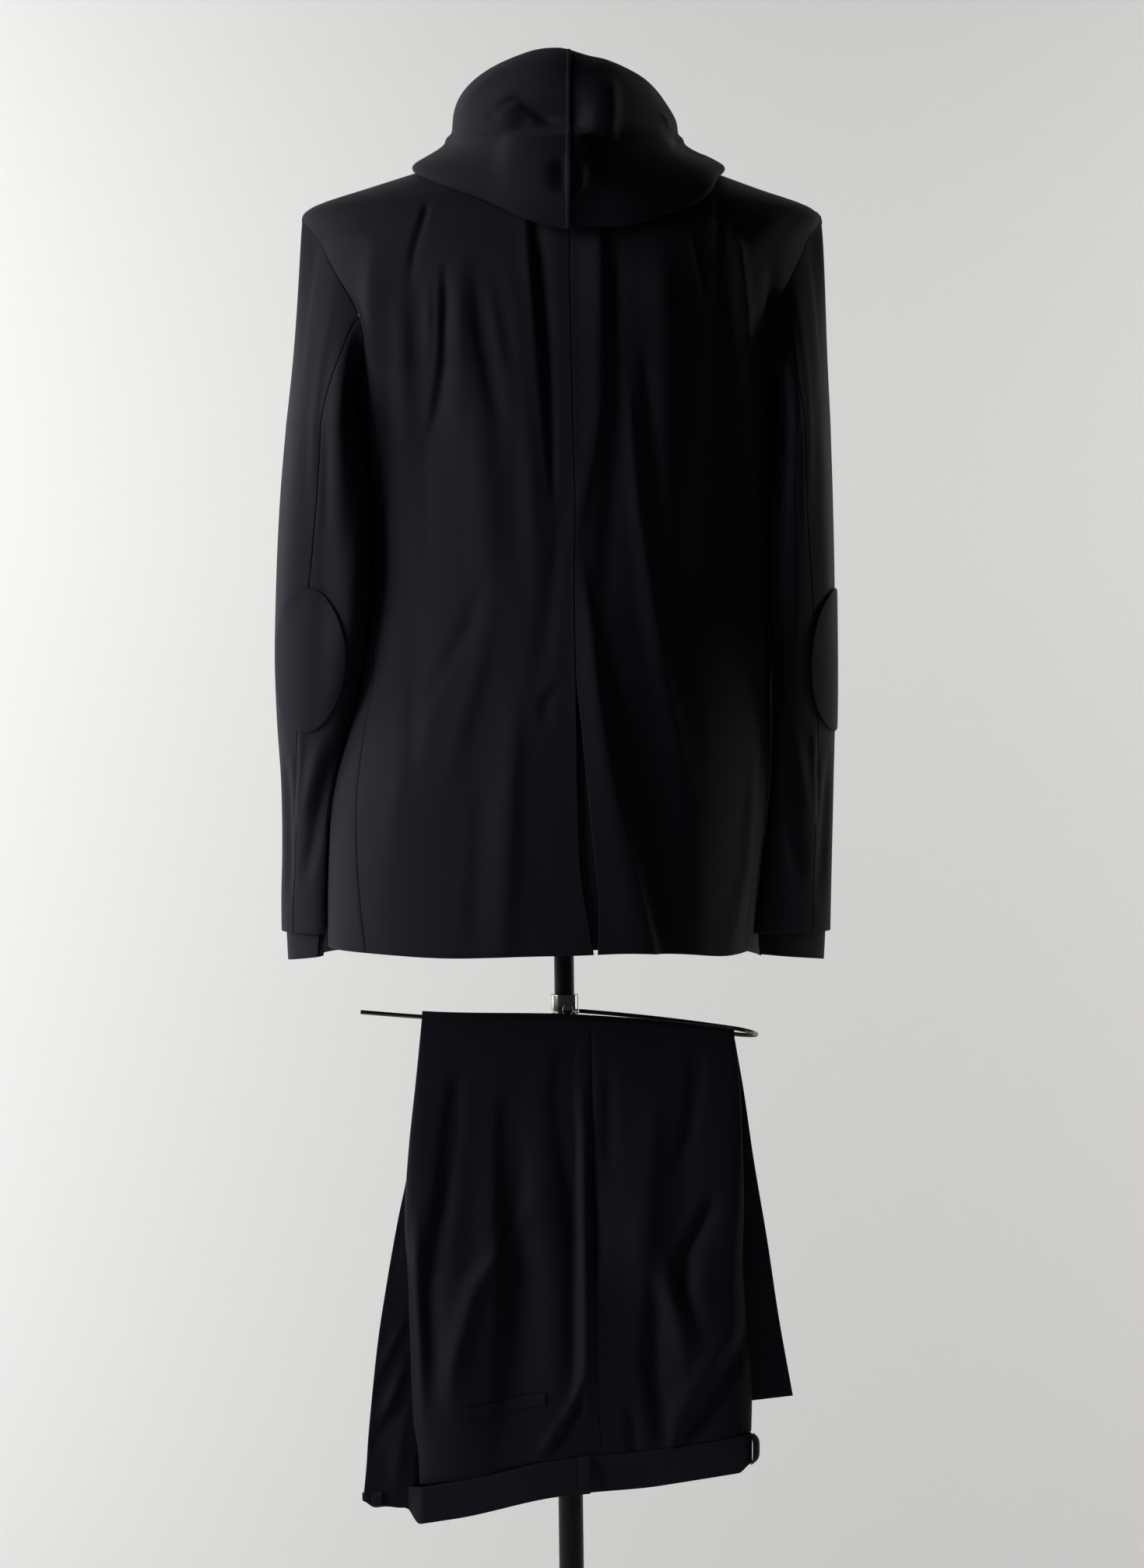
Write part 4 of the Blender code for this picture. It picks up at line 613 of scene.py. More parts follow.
# u runs from 0 at the left edge to 2 at the right, v from 0 at the bar to 1 at the waist or the hem
seatFolds = table(
    "u0 v0 u1 v1 width rise",
    (0.60, 0.10, 0.62, 1.00, 0.10, -0.0050),
    (0.34, 0.16, 0.38, 1.00, 0.10, -0.0045),
    (0.48, 0.40, 0.22, 0.95, 0.10, 0.0035),
    (0.86, 0.06, 0.82, 0.60, 0.09, -0.0060),
    (1.22, 0.20, 1.28, 0.62, 0.10, 0.0035),
    (1.62, 0.25, 1.50, 0.70, 0.10, -0.0040),
    (1.70, 0.55, 1.62, 0.98, 0.09, 0.0035),
    (1.36, 0.70, 1.40, 1.04, 0.09, -0.0030),
)
seatCreases = creaseTable(
    clothUnits,
    ((750, -10, 6, 6, 0), (722, 1, 7, 5, -5), (684, 5, 8, 5, -7), (651, -2, 9, 5, -7),
     (560, -5, 9, 5, -6), (450, -4, 10, 5, -5), (400, -1, 10, 5, 0)),
    ((700, -11, 4, 5, 0), (650, -14, 5, 6, 4), (500, -15, 5, 6, 5), (430, -15.5, 5, 6, 4.5),
     (370, -13, 6, 6, 0)),
    ((690, 60, 4, 10, 0), (640, 60, 4, 15, -6), (580, 58, 5, 20, -10), (490, 54, 8, 26, -11),
     (425, 56, 12, 30, -9), (350, 60, 14, 30, -3), (320, 60, 14, 30, 0)),
    ((710, 103, 5, 8, 0), (670, 108, 5, 9, -5), (600, 115, 6, 10, -7), (512, 130, 7, 12, -7),
     (446, 124, 8, 12, -5), (390, 120, 8, 12, 0)),
    ((610, 25, 10, 10, 0), (560, 50, 10, 10, 3), (510, 86, 10, 9, 6), (440, 106, 10, 8, 6),
     (395, 112, 10, 8, 0)),
    ((590, 138.5, 4, 5, 0), (540, 140, 4, 5, 3), (430, 136, 4, 5, 3.5), (370, 133, 4, 5, 0)),
    ((435, -12, 4, 3, 0), (415, -9.5, 4, 3, 4), (390, 2, 5, 3, 5), (362, 22, 6, 4, 3.5),
     (350, 32, 6, 4, 0)),
    ((430, -18, 3, 4, 0), (400, -8, 3, 5, -4.5), (372, 8, 3, 6, -4.5), (350, 18, 3, 6, 0)),
    ((745, -118, 4, 8, 0), (715, -116.5, 5, 9, -3.5), (651, -108.5, 5, 9, -4.5), (610, -97, 6, 9, 0)),
    ((690, -80, 12, 10, 0), (640, -76, 14, 10, 3.5), (560, -72, 14, 10, 4), (490, -68, 12, 10, 0)),
    ((600, -134, 5, 9, 0), (576, -124, 5, 10, -5.5), (543, -106, 5, 11, -8), (510, -103, 5, 11, -8),
     (478, -116.5, 6, 10, -4.5), (455, -124, 6, 10, 0)),
    ((550, -88, 8, 6, 0), (515, -90, 10, 6, 5), (460, -104, 10, 8, 4), (400, -106, 10, 8, 0)),
    ((520, -75, 4, 10, 0), (480, -75.5, 5, 12, -7), (436, -73, 5, 12, -7.5), (387, -81.6, 6, 12, -5),
     (360, -84, 6, 12, 0)),
    ((495, -170, 6, 10, 0), (460, -160, 6, 11, -5), (414, -135.5, 6, 12, -8), (382, -116.4, 6, 12, -7),
     (360, -104, 6, 12, 0)),
    ((470, -146, 10, 6, 0), (440, -130, 12, 6, 4.5), (400, -105, 12, 6, 4.5), (370, -98, 12, 6, 0)),
    ((410, -54, 5, 6, 0), (380, -58, 5, 7, -4), (355, -58, 5, 7, -3)),
    ((400, -98, 4, 4, 0), (375, -96, 4, 4, 2.5), (355, -95, 4, 4, 2)),
    ((720, -34, 6, 8, 0), (690, -36, 6, 8, -2.5), (640, -36, 6, 8, -2), (600, -36, 6, 8, 0)),
)
hipCreases = creaseTable(
    clothUnits,
    ((500, 136, 3, 4, 0), (466, 147.4, 3, 5, -3.5), (436, 165.9, 3, 5, -4), (411, 175.2, 3, 5, -3),
     (395, 180, 3, 5, 0)),
    ((460, 140, 3, 5, 0), (434, 145.2, 3, 5, -3.5), (397, 158.8, 3, 6, -5), (370, 175.2, 3, 6, -3),
     (355, 183, 3, 6, 0)),
    ((480, 150, 4, 3, 0), (447, 165, 4, 3, 3), (420, 176, 4, 3, 0)),
    ((440, 148, 4, 3, 0), (405, 162, 5, 3, 3.5), (378, 176, 5, 3, 0)),
    ((400, 150, 5, 4, 0), (350, 156, 8, 5, 3), (310, 160, 8, 5, 0)),
    ((620, 150, 5, 6, 0), (560, 158, 6, 7, -2), (500, 165, 6, 7, 0)),
)
legFolds = table(
    "u0 v0 u1 v1 width rise",
    (0.35, 0.15, 0.45, 0.95, 0.08, -0.0020),
    (1.45, 0.15, 1.60, 0.95, 0.08, -0.0020),
    (0.70, 0.20, 0.75, 0.90, 0.06, 0.0020),
    (1.20, 0.20, 1.25, 0.90, 0.06, 0.0020),
)


def waistLine(x):  # height of the seam over the waistband, sagging either side of the pole
    sag = 0.0058 * smooth(0.015, 0.105, x) + 0.0044 * smooth(0.0, 0.085, -x)
    return trouserSizes["waist"] + trouserSizes["waistSlope"] * x - sag


def barLine(x):  # height of the bar's front arm
    return along(barRows, "front", x)


def trouserX(rows, across, drop):  # across is 0 at the left edge, 1 between the legs and 2 at the right
    left, middle, right = (along(rows, name, drop) for name in ("left", "middle", "right"))
    return np.where(across < 1, left + (middle - left) * across, middle + (right - middle) * (across - 1))


def layer(inner, hip=False):
    # run is -1 at the waist seam, 0 on the bar and 1 at the leg hem: straight falls, half round the bar,
    # pushed out by a puff that closes at the layer's edges, and by its folds
    size = trouserSizes
    seatEdges = dict(seatRows)
    if hip:
        seatEdges["left"] = seatRows["hip"]

    def surface(across, run):
        across, run = np.broadcast_arrays(np.asarray(across, float), np.asarray(run, float))
        seat = run < 0
        drop = np.clip((np.abs(run) - 0.05) / 0.95, 0, 1.1)
        x = np.where(seat, trouserX(seatEdges, across, drop), trouserX(legRows, across, drop))
        low = np.where(seat, waistLine(x), size["legHem"] + size["hemSlope"] * (x + 0.175))
        beside = smooth(size["hipEdge"], size["hipEdge"] + 0.006, x) if hip else 0 * x
        low = low - np.where(seat, beside * (size["band"] - bandCut(x) + 0.0008), 0)
        edge = np.clip(1 - np.abs(across - 1) ** 8, 0, 1) ** 0.5
        inside = np.clip(1 - np.abs(2 * np.mod(across, 1.0) - 1) ** 8, 0, 1) ** 0.5
        inside = np.where((across <= 0) | (across >= 2), 0, inside)
        joined = np.where(seat, smooth(size["crotch"] - 0.08, size["crotch"] + 0.08, drop), 0)
        openTo = inside + (edge - inside) * joined
        puff = np.where(seat, along(seatRows, "puff", drop), along(legRows, "puff", drop)) * openTo
        lay = size["innerLay"] + 0 * across
        flatZ = barLine(x) + (low - barLine(x)) * drop
        if not inner:
            folds = foldRelief(seatFolds, across, drop) * 0.5 + creaseRelief(seatCreases, x, flatZ)
            below = foldRelief(legFolds, across, drop) * openTo
            relief = np.where(seat, folds * smooth(0.0, 0.08, openTo), below)
            lay = size["outerLay"] + puff + np.maximum(relief * smooth(0.0, 0.10, drop), -0.80 * puff)
        if hip:
            relief = creaseRelief(hipCreases, x, flatZ)
            over = size["hipOver"] * smooth(0.78, 0.90, drop) + np.maximum(relief, -0.0010)
            lay = lay + np.where(seat, smooth(size["hipEdge"], size["hipEdge"] + 0.004, x) * over, 0)
        bend = np.radians(90 * np.clip(np.abs(run) / 0.05, 0, 1))
        y = bar["front"] + np.where(seat, 1, -1) * lay * np.sin(bend)
        return np.stack([x, y, flatZ + lay * np.cos(bend)], axis=-1)
    return surface


def layerNormals(surface, across, run):
    return normals(surface, across, run, 0.01, 0.006)


def bandCut(x):  # how much shorter the band is at the hip and at its right end
    hip = 0.015 * smooth(0.137, 0.151, x) + 0.004 * smooth(0.151, 0.172, x)
    return hip + 0.008 * smooth(0.174, 0.190, x) ** 2 + 0.007 * smooth(0.156, 0.168, -x)


def bandLoop(share, down):  # the waistband's flat loop, once round from its left edge over the seat side
    size = trouserSizes
    share, down = np.broadcast_arrays(share, down)
    t = 2 * np.pi * share
    left, right = size["bandEnds"]
    x = (left + right) / 2 + (left - right) / 2 * np.cos(t)
    near = bar["front"] + size["innerLay"]
    shallow, deeper = size["bandDepth"]
    deep = shallow + deeper * (1 - smooth(0.134, 0.152, x))  # shallow at the hip, beyond the seat's edge
    y = near + deep * (0.5 + 0.5 * np.sign(np.sin(t)) * np.abs(np.sin(t)) ** 0.35)
    z = waistLine(x) - 0.0006 - (size["band"] - bandCut(x)) * down
    return np.stack([x, y, z], axis=-1)


def bandNormals(share, down):
    around = bandLoop(share + 0.001, down) - bandLoop(share - 0.001, down)
    return unit(np.cross(around, np.array([0, 0, 1.0])))


# ---- meshes from whole arrays
def addMesh(name, verts, quads, tris, uv, made, sharp=60):
    # one vertex a row, one face a row; the closed shell's signed volume says whether to turn it round
    a, b, c = (verts[quads[:, k]] for k in range(3))
    d = verts[quads[:, 3]]
    volume = np.sum(a * np.cross(b, c)) + np.sum(a * np.cross(c, d))
    if len(tris):
        volume += np.sum(verts[tris[:, 0]] * np.cross(verts[tris[:, 1]], verts[tris[:, 2]]))
    if volume < 0:
        quads, tris = quads[:, ::-1], tris[:, ::-1]
    loops = np.concatenate([quads.ravel(), tris.ravel()]).astype(np.int32)
    starts = np.concatenate([np.arange(len(quads)) * 4, quads.size + np.arange(len(tris)) * 3])
    mesh = bpy.data.meshes.new(name)
    mesh.vertices.add(len(verts))
    mesh.vertices.foreach_set("co", verts.astype(np.float32).ravel())
    mesh.loops.add(len(loops))
    mesh.loops.foreach_set("vertex_index", loops)
    mesh.polygons.add(len(starts))
    mesh.polygons.foreach_set("loop_start", starts.astype(np.int32))
    layerUv = mesh.uv_layers.new(name="lengths")
    layerUv.uv.foreach_set("vector", uv[loops].astype(np.float32).ravel())
    mesh.update(calc_edges=True)
    mesh.validate()
    mesh.shade_smooth()
    mesh.set_sharp_from_angle(angle=math.radians(sharp))
    mesh.materials.append(made)
    thing = bpy.data.objects.new(name, mesh)
    scene.collection.objects.link(thing)
    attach(thing, "root")
    return thing


def lengths(points):  # texture places in metres: the running length along each row and column
    across = np.linalg.norm(np.diff(points, axis=1), axis=-1)
    across = np.concatenate([np.zeros((len(points), 1)), np.cumsum(across, axis=1)], axis=1)
    across = across - across[:, across.shape[1] // 2][:, None]
    down = np.linalg.norm(np.diff(points, axis=0), axis=-1)
    down = np.concatenate([np.zeros((1, points.shape[1])), np.cumsum(down, axis=0)], axis=0)
    return np.stack([across, down], axis=-1)


def nearEdges(points, inset, columns=True):
    # one more row or column a little inside each edge, on the straight line to its neighbour
    def between(edge, neighbour):
        way = neighbour - edge
        size = np.linalg.norm(way, axis=-1, keepdims=True)
        return edge + way * np.clip(inset / np.maximum(size, 1e-9), 0, 0.5)
    first, last = between(points[:1], points[1:2]), between(points[-1:], points[-2:-1])
    points = np.concatenate([points[:1], first, points[1:-1], last, points[-1:]], axis=0)
    if columns:
        first, last = between(points[:, :1], points[:, 1:2]), between(points[:, -1:], points[:, -2:-1])
        points = np.concatenate([points[:, :1], first, points[:, 1:-1], last, points[:, -1:]], axis=1)
    return points


def gridFaces(rows, columns, closed):  # four-sided faces between neighbouring grid points
    index = np.arange(rows * columns).reshape(rows, columns)
    if closed:
        index = np.concatenate([index, index[:, :1]], axis=1)
    corners = [index[:-1, :-1], index[:-1, 1:], index[1:, 1:], index[1:, :-1]]
    return np.stack(corners, axis=-1).reshape(-1, 4)


def cloth(name, outside, inside, made, closed=False, soften=0.30, inset=0.0007):
    # an outer and an inner grid, both drawn together by a share of the thickness along the open edges,
    # and joined there by a rim; closed grids wrap round in their columns
    outer = nearEdges(outside, inset, not closed)
    inner = nearEdges(inside, inset, not closed)
    share = np.zeros(outer.shape[:2])
    share[[0, -1], :] = soften
    if not closed:
        share[:, [0, -1]] = soften
    share = share[..., None]
    outer, inner = outer + (inner - outer) * share, inner + (outer - inner) * share
    rows, columns = outer.shape[:2]
    count = rows * columns
    skin = gridFaces(rows, columns, closed)
    index = np.arange(count).reshape(rows, columns)
    if closed:
        edges = [np.append(index[0], index[0, 0]), np.append(index[-1], index[-1, 0])[::-1]]
    else:
        edges = [np.concatenate([index[0], index[1:, -1], index[-1, -2::-1], index[-2::-1, 0]])]
    rims = [np.stack([e[:-1], e[:-1] + count, e[1:] + count, e[1:]], axis=-1) for e in edges]
    quads = np.concatenate([skin, skin[:, ::-1] + count] + rims)
    verts = np.concatenate([outer.reshape(-1, 3), inner.reshape(-1, 3)])
    places = lengths(outer).reshape(-1, 2)
    return addMesh(name, verts, quads, np.zeros((0, 3), int), np.concatenate([places, places]), made)


def clothArea(points):  # half the cross product of each face's diagonals, summed
    one = points[1:, 1:] - points[:-1, :-1]
    other = points[1:, :-1] - points[:-1, 1:]
    return float(np.linalg.norm(np.cross(one, other), axis=-1).sum() / 2)


def loft(name, rings, made, sharp=35):  # closed rings joined in order, a fan of triangles over each end
    rows, columns = rings.shape[:2]
    count = rows * columns
    verts = np.concatenate([rings.reshape(-1, 3), rings[:1].mean(axis=1), rings[-1:].mean(axis=1)])
    quads = gridFaces(rows, columns, True)
    index = np.arange(columns)
    following = np.roll(index, -1)
    low = np.stack([following, index, np.full(columns, count)], axis=-1)
    high = np.stack([index, following, np.full(columns, count + 1 - (rows - 1) * columns)], axis=-1)
    tris = np.concatenate([low, high + (rows - 1) * columns])
    places = np.concatenate([lengths(rings).reshape(-1, 2), np.zeros((2, 2))])
    return addMesh(name, verts, quads, tris, places, made, sharp)


def panelGrid(low, high, heights, columns):  # turn and height at each grid point between two edges
    share = np.linspace(0, 1, columns)[None, :]
    height = np.asarray(heights)[:, None] + 0 * share
    return low(heights)[:, None] + (high(heights) - low(heights))[:, None] * share, height


sheetSizes = {}


def sheetPiece(thing, points, node, flat, area):
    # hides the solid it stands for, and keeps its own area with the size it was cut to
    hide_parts(node)
    sheetSizes[thing.name] = (round(clothArea(points), 4), flat, area)


# ---- materials; shared effects are node groups
def groupWith(name, outputs):  # an empty node group with the named outputs
    tree = bpy.data.node_groups.new(name, "ShaderNodeTree")
    for label, kind in outputs:
        tree.interface.new_socket(label, in_out="OUTPUT", socket_type=kind)
    return tree


def put(tree, kind, links=(), **values):  # adds a node, sets its properties and sockets, and joins it
    node = tree.nodes.new(kind)
    for key, value in values.items():
        if hasattr(node, key):
            setattr(node, key, value)
        else:
            node.inputs[key.replace("_", " ")].default_value = value
    for socket, source in links:
        tree.links.new(source, node.inputs[socket])
    return node


def math2(tree, operation, a, b):  # one Math node of two inputs, each a socket or a number
    node = tree.nodes.new("ShaderNodeMath")
    node.operation = operation
    for k, value in enumerate((a, b)):
        if isinstance(value, (int, float)):
            node.inputs[k].default_value = value
        else:
            tree.links.new(value, node.inputs[k])
    return node.outputs[0]


weave = {
    "pitch": 0.00062,
    "depth": 0.000045,
    "rumple": 0.00055,
    "rumpleScale": 26.0,
    "rumplePlace": (0.13, 0.07, 0.0),
    "rumpleStretch": (1.0, 1.0, 0.45),
    "nap": 0.00006,
    "napScale": 900.0,
}
metal = {"wave": 0.00006, "waveScale": 40.0, "grain": 0.00001, "grainScale": 1400.0}
toneSpan = {"wovenTwill": (0.75, 1.20), "finishedMetal": (0.35, 0.65)}  # darkest and lightest tone


def weaveGroup():
    # height of a twill: sin(across + down) + sin(across - down) / 2, plus soft rumples and a fine nap;
    # its tone: a slow cloud times the nap
    tree = groupWith("wovenTwill", [("Height", "NodeSocketFloat"), ("Tone", "NodeSocketFloat")])
    out = tree.nodes.new("NodeGroupOutput")
    flat = put(tree, "ShaderNodeUVMap", uv_map="lengths")
    split = put(tree, "ShaderNodeSeparateXYZ", [(0, flat.outputs[0])])
    turnPerMetre = 2 * math.pi / weave["pitch"]
    across = math2(tree, "MULTIPLY", split.outputs[0], turnPerMetre)
    down = math2(tree, "MULTIPLY", split.outputs[1], turnPerMetre)
    rib = math2(tree, "SINE", math2(tree, "ADD", across, down), 0)
    thread = math2(tree, "SINE", math2(tree, "SUBTRACT", across, down), 0)
    ribs = math2(tree, "ADD", rib, math2(tree, "MULTIPLY", thread, 0.5))
    twill = math2(tree, "MULTIPLY", ribs, weave["depth"])
    where = put(tree, "ShaderNodeTexCoord")
    stretched = put(
        tree, "ShaderNodeMapping", [(0, where.outputs["Object"])], Scale=weave["rumpleStretch"],
        Location=weave["rumplePlace"]
    )
    rumple = put(
        tree, "ShaderNodeTexNoise", [("Vector", stretched.outputs[0])],
        Scale=weave["rumpleScale"], Detail=3.0, Roughness=0.45, Distortion=0.6
    )
    low = math2(tree, "MULTIPLY", rumple.outputs[0], weave["rumple"])
    place = [("Vector", where.outputs["Object"])]
    fuzz = put(tree, "ShaderNodeTexNoise", place, Scale=weave["napScale"], Detail=2.0)
    nap = math2(tree, "MULTIPLY", fuzz.outputs[0], weave["nap"])
    height = math2(tree, "ADD", math2(tree, "ADD", twill, low), nap)
    cloud = put(tree, "ShaderNodeTexNoise", place, Scale=7.0, Detail=4.0)
    tone = math2(tree, "ADD", math2(tree, "MULTIPLY", cloud.outputs[0], 0.30), 0.85)
    fine = math2(tree, "ADD", math2(tree, "MULTIPLY", fuzz.outputs[0], 0.24), 0.88)
    tree.links.new(height, out.inputs["Height"])
    tree.links.new(math2(tree, "MULTIPLY", tone, fine), out.inputs["Tone"])
    return tree


def surfaceGroup():
    # lacquered or plated metal: its height is a faint waviness plus a fine grain, its tone the waviness
    tree = groupWith("finishedMetal", [("Height", "NodeSocketFloat"), ("Tone", "NodeSocketFloat")])
    out = tree.nodes.new("NodeGroupOutput")
    where = put(tree, "ShaderNodeTexCoord")
    place = [("Vector", where.outputs["Object"])]
    wave = put(tree, "ShaderNodeTexNoise", place, Scale=metal["waveScale"], Detail=2.0)
    grain = put(tree, "ShaderNodeTexNoise", place, Scale=metal["grainScale"], Detail=3.0)
    height = math2(tree, "MULTIPLY", wave.outputs[0], metal["wave"])
    height = math2(tree, "ADD", height, math2(tree, "MULTIPLY", grain.outputs[0], metal["grain"]))
    tree.links.new(height, out.inputs["Height"])
    tree.links.new(wave.outputs[0], out.inputs["Tone"])
    return tree


weaveTree = weaveGroup()
metalTree = surfaceGroup()


def finishOf(name, colour, roughness, tree, spread, **sockets):
    # a Principled shader: its colour is mixed by the group's tone, its bump is the group's height in metres
    made = bpy.data.materials.new(name)
    made.use_nodes = True
    nodesOf, links = made.node_tree.nodes, made.node_tree.links
    shader = nodesOf["Principled BSDF"]
    effect = nodesOf.new("ShaderNodeGroup")
    effect.node_tree = tree
    mixed = nodesOf.new("ShaderNodeMix")
    mixed.data_type = "RGBA"
    mixed.inputs["A"].default_value = (*(c * (1 - spread) for c in colour), 1.0)
    mixed.inputs["B"].default_value = (*(min(c * (1 + spread), 1) for c in colour), 1.0)
    spreadTone = nodesOf.new("ShaderNodeMapRange")
    darkest, lightest = toneSpan[tree.name]
    spreadTone.inputs["From Min"].default_value = darkest
    spreadTone.inputs["From Max"].default_value = lightest
    links.new(effect.outputs["Tone"], spreadTone.inputs["Value"])
    links.new(spreadTone.outputs[0], mixed.inputs["Factor"])
    links.new(mixed.outputs["Result"], shader.inputs["Base Color"])
    rough = nodesOf.new("ShaderNodeMapRange")
    rough.inputs["To Min"].default_value = roughness - 0.05
    rough.inputs["To Max"].default_value = roughness + 0.05
    links.new(spreadTone.outputs[0], rough.inputs["Value"])
    links.new(rough.outputs[0], shader.inputs["Roughness"])
    bump = nodesOf.new("ShaderNodeBump")
    bump.inputs["Distance"].default_value = 1.0
    links.new(effect.outputs["Height"], bump.inputs["Height"])
    links.new(bump.outputs[0], shader.inputs["Normal"])
    for key, value in sockets.items():
        shader.inputs[key.replace("_", " ")].default_value = value
    return made


suitCloth = finishOf(
    "navyStretchCloth", (0.0113, 0.0109, 0.0184), 0.58, weaveTree, 0.18,
    Sheen_Weight=0.04, Sheen_Roughness=0.5, Specular_IOR_Level=0.10
)
jersey = finishOf("formJersey", (0.020, 0.020, 0.022), 0.80, weaveTree, 0.15, Sheen_Weight=0.2)
blackLacquer = finishOf(
    "blackLacquer", (0.012, 0.012, 0.013), 0.42, metalTree, 0.15, Specular_IOR_Level=0.25
)
greyLacquer = finishOf(
    "greyLacquer", (0.013, 0.013, 0.012), 0.45, metalTree, 0.20, Specular_IOR_Level=0.20
)
chromePlate = finishOf("chromePlate", (0.60, 0.58, 0.54), 0.18, metalTree, 0.08, Metallic=1.0)
brownedSteel = finishOf("brownedSteel", (0.16, 0.14, 0.12), 0.30, metalTree, 0.25, Metallic=1.0)
hornButton = finishOf("hornButton", (0.008, 0.008, 0.010), 0.33, metalTree, 0.30, Coat_Weight=0.15)
print("materials made")

sides = ((1, "Left"), (-1, "Right"))


def nodeOf(kind, label):  # the solid's name on one side
    return f"{kind}_{label.lower()}"


# ---- jacket body
jacket = {
    "lowRows": 120,
    "armholeRows": 90,
    "neckRows": 14,
    "backColumns": 190,
    "frontColumns": 52,
    "backFlat": (0.250, 0.755),
    "backArea": 0.160,
    "frontFlat": (0.260, 0.755),
    "frontArea": 0.153,
    "sideFlat": (0.135, 0.530),
    "sideArea": 0.057,
    "lapelFlat": (0.088, 0.325),
    "lapelArea": 0.0184,
    "underlapFlat": (0.042, 0.255),
    "underlapReach": (0.024, 0.018),
    "underlapDepth": 0.0020,
    "sideColumns": 34,
    "sideRows": 100,
    "neckDip": 0.0035,
    "frontsLap": 0.0009,
    "lapelColumns": 26,
    "lapelLift": 0.0012,
    "notchFoot": 1.458,
    "notchTop": 1.468,
    "lapelTop": 1.538,
}


def panelHeights():  # even up to the armhole, then by its own turning angle, then even to the neck
    half = (suit["shoulder"] - suit["underarm"]) / 2
    phi = np.radians(np.linspace(suit["armholeSeams"][0], 0.0, jacket["armholeRows"]))
    beside = suit["underarm"] + half + half * np.cos(phi)
    low = np.linspace(suit["hem"], armholeFoot, jacket["lowRows"])[:-1]
    high = np.linspace(suit["shoulder"], suit["neck"], jacket["neckRows"])[1:]
    return np.concatenate([low, beside, high])


def bodySheet(name, side, turn, height, lift):  # a sheet whose outer face lies lift above the body
    points = body(side * turn, height)
    up = bodyNormals(side * turn, height)
    lift = np.broadcast_to(np.asarray(lift, float), turn.shape)[..., None]
    outer = points + up * lift
    return cloth(name, outer, points + up * (lift - suit["cloth"]), suitCloth), outer


def frontLift(side, turn, height):  # the left front passes over the right one below the lapels
    if side < 0:
        return np.zeros_like(turn)
    low = 1 - smooth(suit["frontsPart"], suit["frontsPart"] + 0.07, height)
    return (suit["cloth"] + jacket["frontsLap"]) * smooth(160, 172, turn) * low


heights = panelHeights()
for side, label in sides:
    def centreEdge(h, side=side):  # the centre seam, opened on the right below the vent's top
        gap = seamDegrees(0.0, h)
        opened = np.degrees(along(ventRows, "gap", h) / along(bodyRows, "half", h))
        return np.where((h < suit["ventTop"]) & (side < 0), np.maximum(opened, gap), gap)

    turn, height = panelGrid(centreEdge, lambda h: panelEdge(h, -1), heights, jacket["backColumns"])
    dip = jacket["neckDip"] * np.cos(np.radians(np.clip(turn, 0, 90))) ** 2
    height = height - dip * np.clip((height - suit["shoulder"]) / (suit["neck"] - suit["shoulder"]), 0, 1)
    back, points = bodySheet(f"back{label}", side, turn, height, 0.0)
    sheetPiece(
        back, points, nodeOf("back", label), jacket["backFlat"], jacket["backArea"],
    )
    turn, height = panelGrid(lambda h: panelEdge(h, 1), rollEdge, heights, jacket["frontColumns"])
    front, points = bodySheet(f"front{label}", side, turn, height, frontLift(side, turn, height))
    sheetPiece(
        front, points, nodeOf("front", label), jacket["frontFlat"], jacket["frontArea"],
    )
    phi = np.linspace(*suit["armholeSeams"], jacket["sideColumns"])[None, :]
    climb = np.linspace(0, 1, jacket["sideRows"])[:, None]
    topTurn, topHeight = armholeLoop(phi)
    height = suit["hem"] + (topHeight - suit["hem"]) * climb
    low, high = along(seamRows, "sideBack", height), along(seamRows, "sideFront", height)
    low, high = low + seamDegrees(low, height), high - seamDegrees(high, height)
    straight = low + (high - low) * (phi - phi[0, 0]) / np.ptp(phi)
    turn = np.clip(straight + (topTurn - straight) * climb**6, low, high)
    sidePanel, points = bodySheet(f"side{label}", side, turn, height, 0.0)
    sheetPiece(
        sidePanel, points, nodeOf("side", label), jacket["sideFlat"], jacket["sideArea"],
    )

underHeights = np.linspace(suit["hem"] + 0.004, suit["ventTop"] + 0.010, 60)
toRight, toLeft = jacket["underlapReach"]
turn, height = panelGrid(
    lambda h: -np.degrees(toRight / along(bodyRows, "half", h)),
    lambda h: np.degrees(toLeft / along(bodyRows, "half", h)), underHeights, 12
)
underlap, points = bodySheet("ventUnderlap", 1, turn, height, -suit["cloth"] - jacket["underlapDepth"])
sheetPiece(underlap, points, "vent_underlap", jacket["underlapFlat"], None)

lapelRows = table(
    "at width",
    (1.215, 0.006),
    (1.270, 0.034),
    (1.340, 0.060),
    (1.420, 0.080),
    (jacket["notchFoot"], 0.088),
    (jacket["notchTop"], 0.060),
    (1.500, 0.055),
    (1.522, 0.047),
    (jacket["lapelTop"], 0.040),
)


def lapelWidth(height):  # straight between the table's rows, so that its notch stays sharp
    return np.interp(height, lapelRows["at"], lapelRows["width"])


def lapelEdge(height):  # the lapel's outer edge, its width away from the roll line
    return rollEdge(height) - np.degrees(lapelWidth(height) / along(bodyRows, "half", height))


def coveredEdge(height):  # the right roll edge, cut short where the left front covers it
    return np.minimum(rollEdge(height), 360 - rollEdge(height) - 0.45)


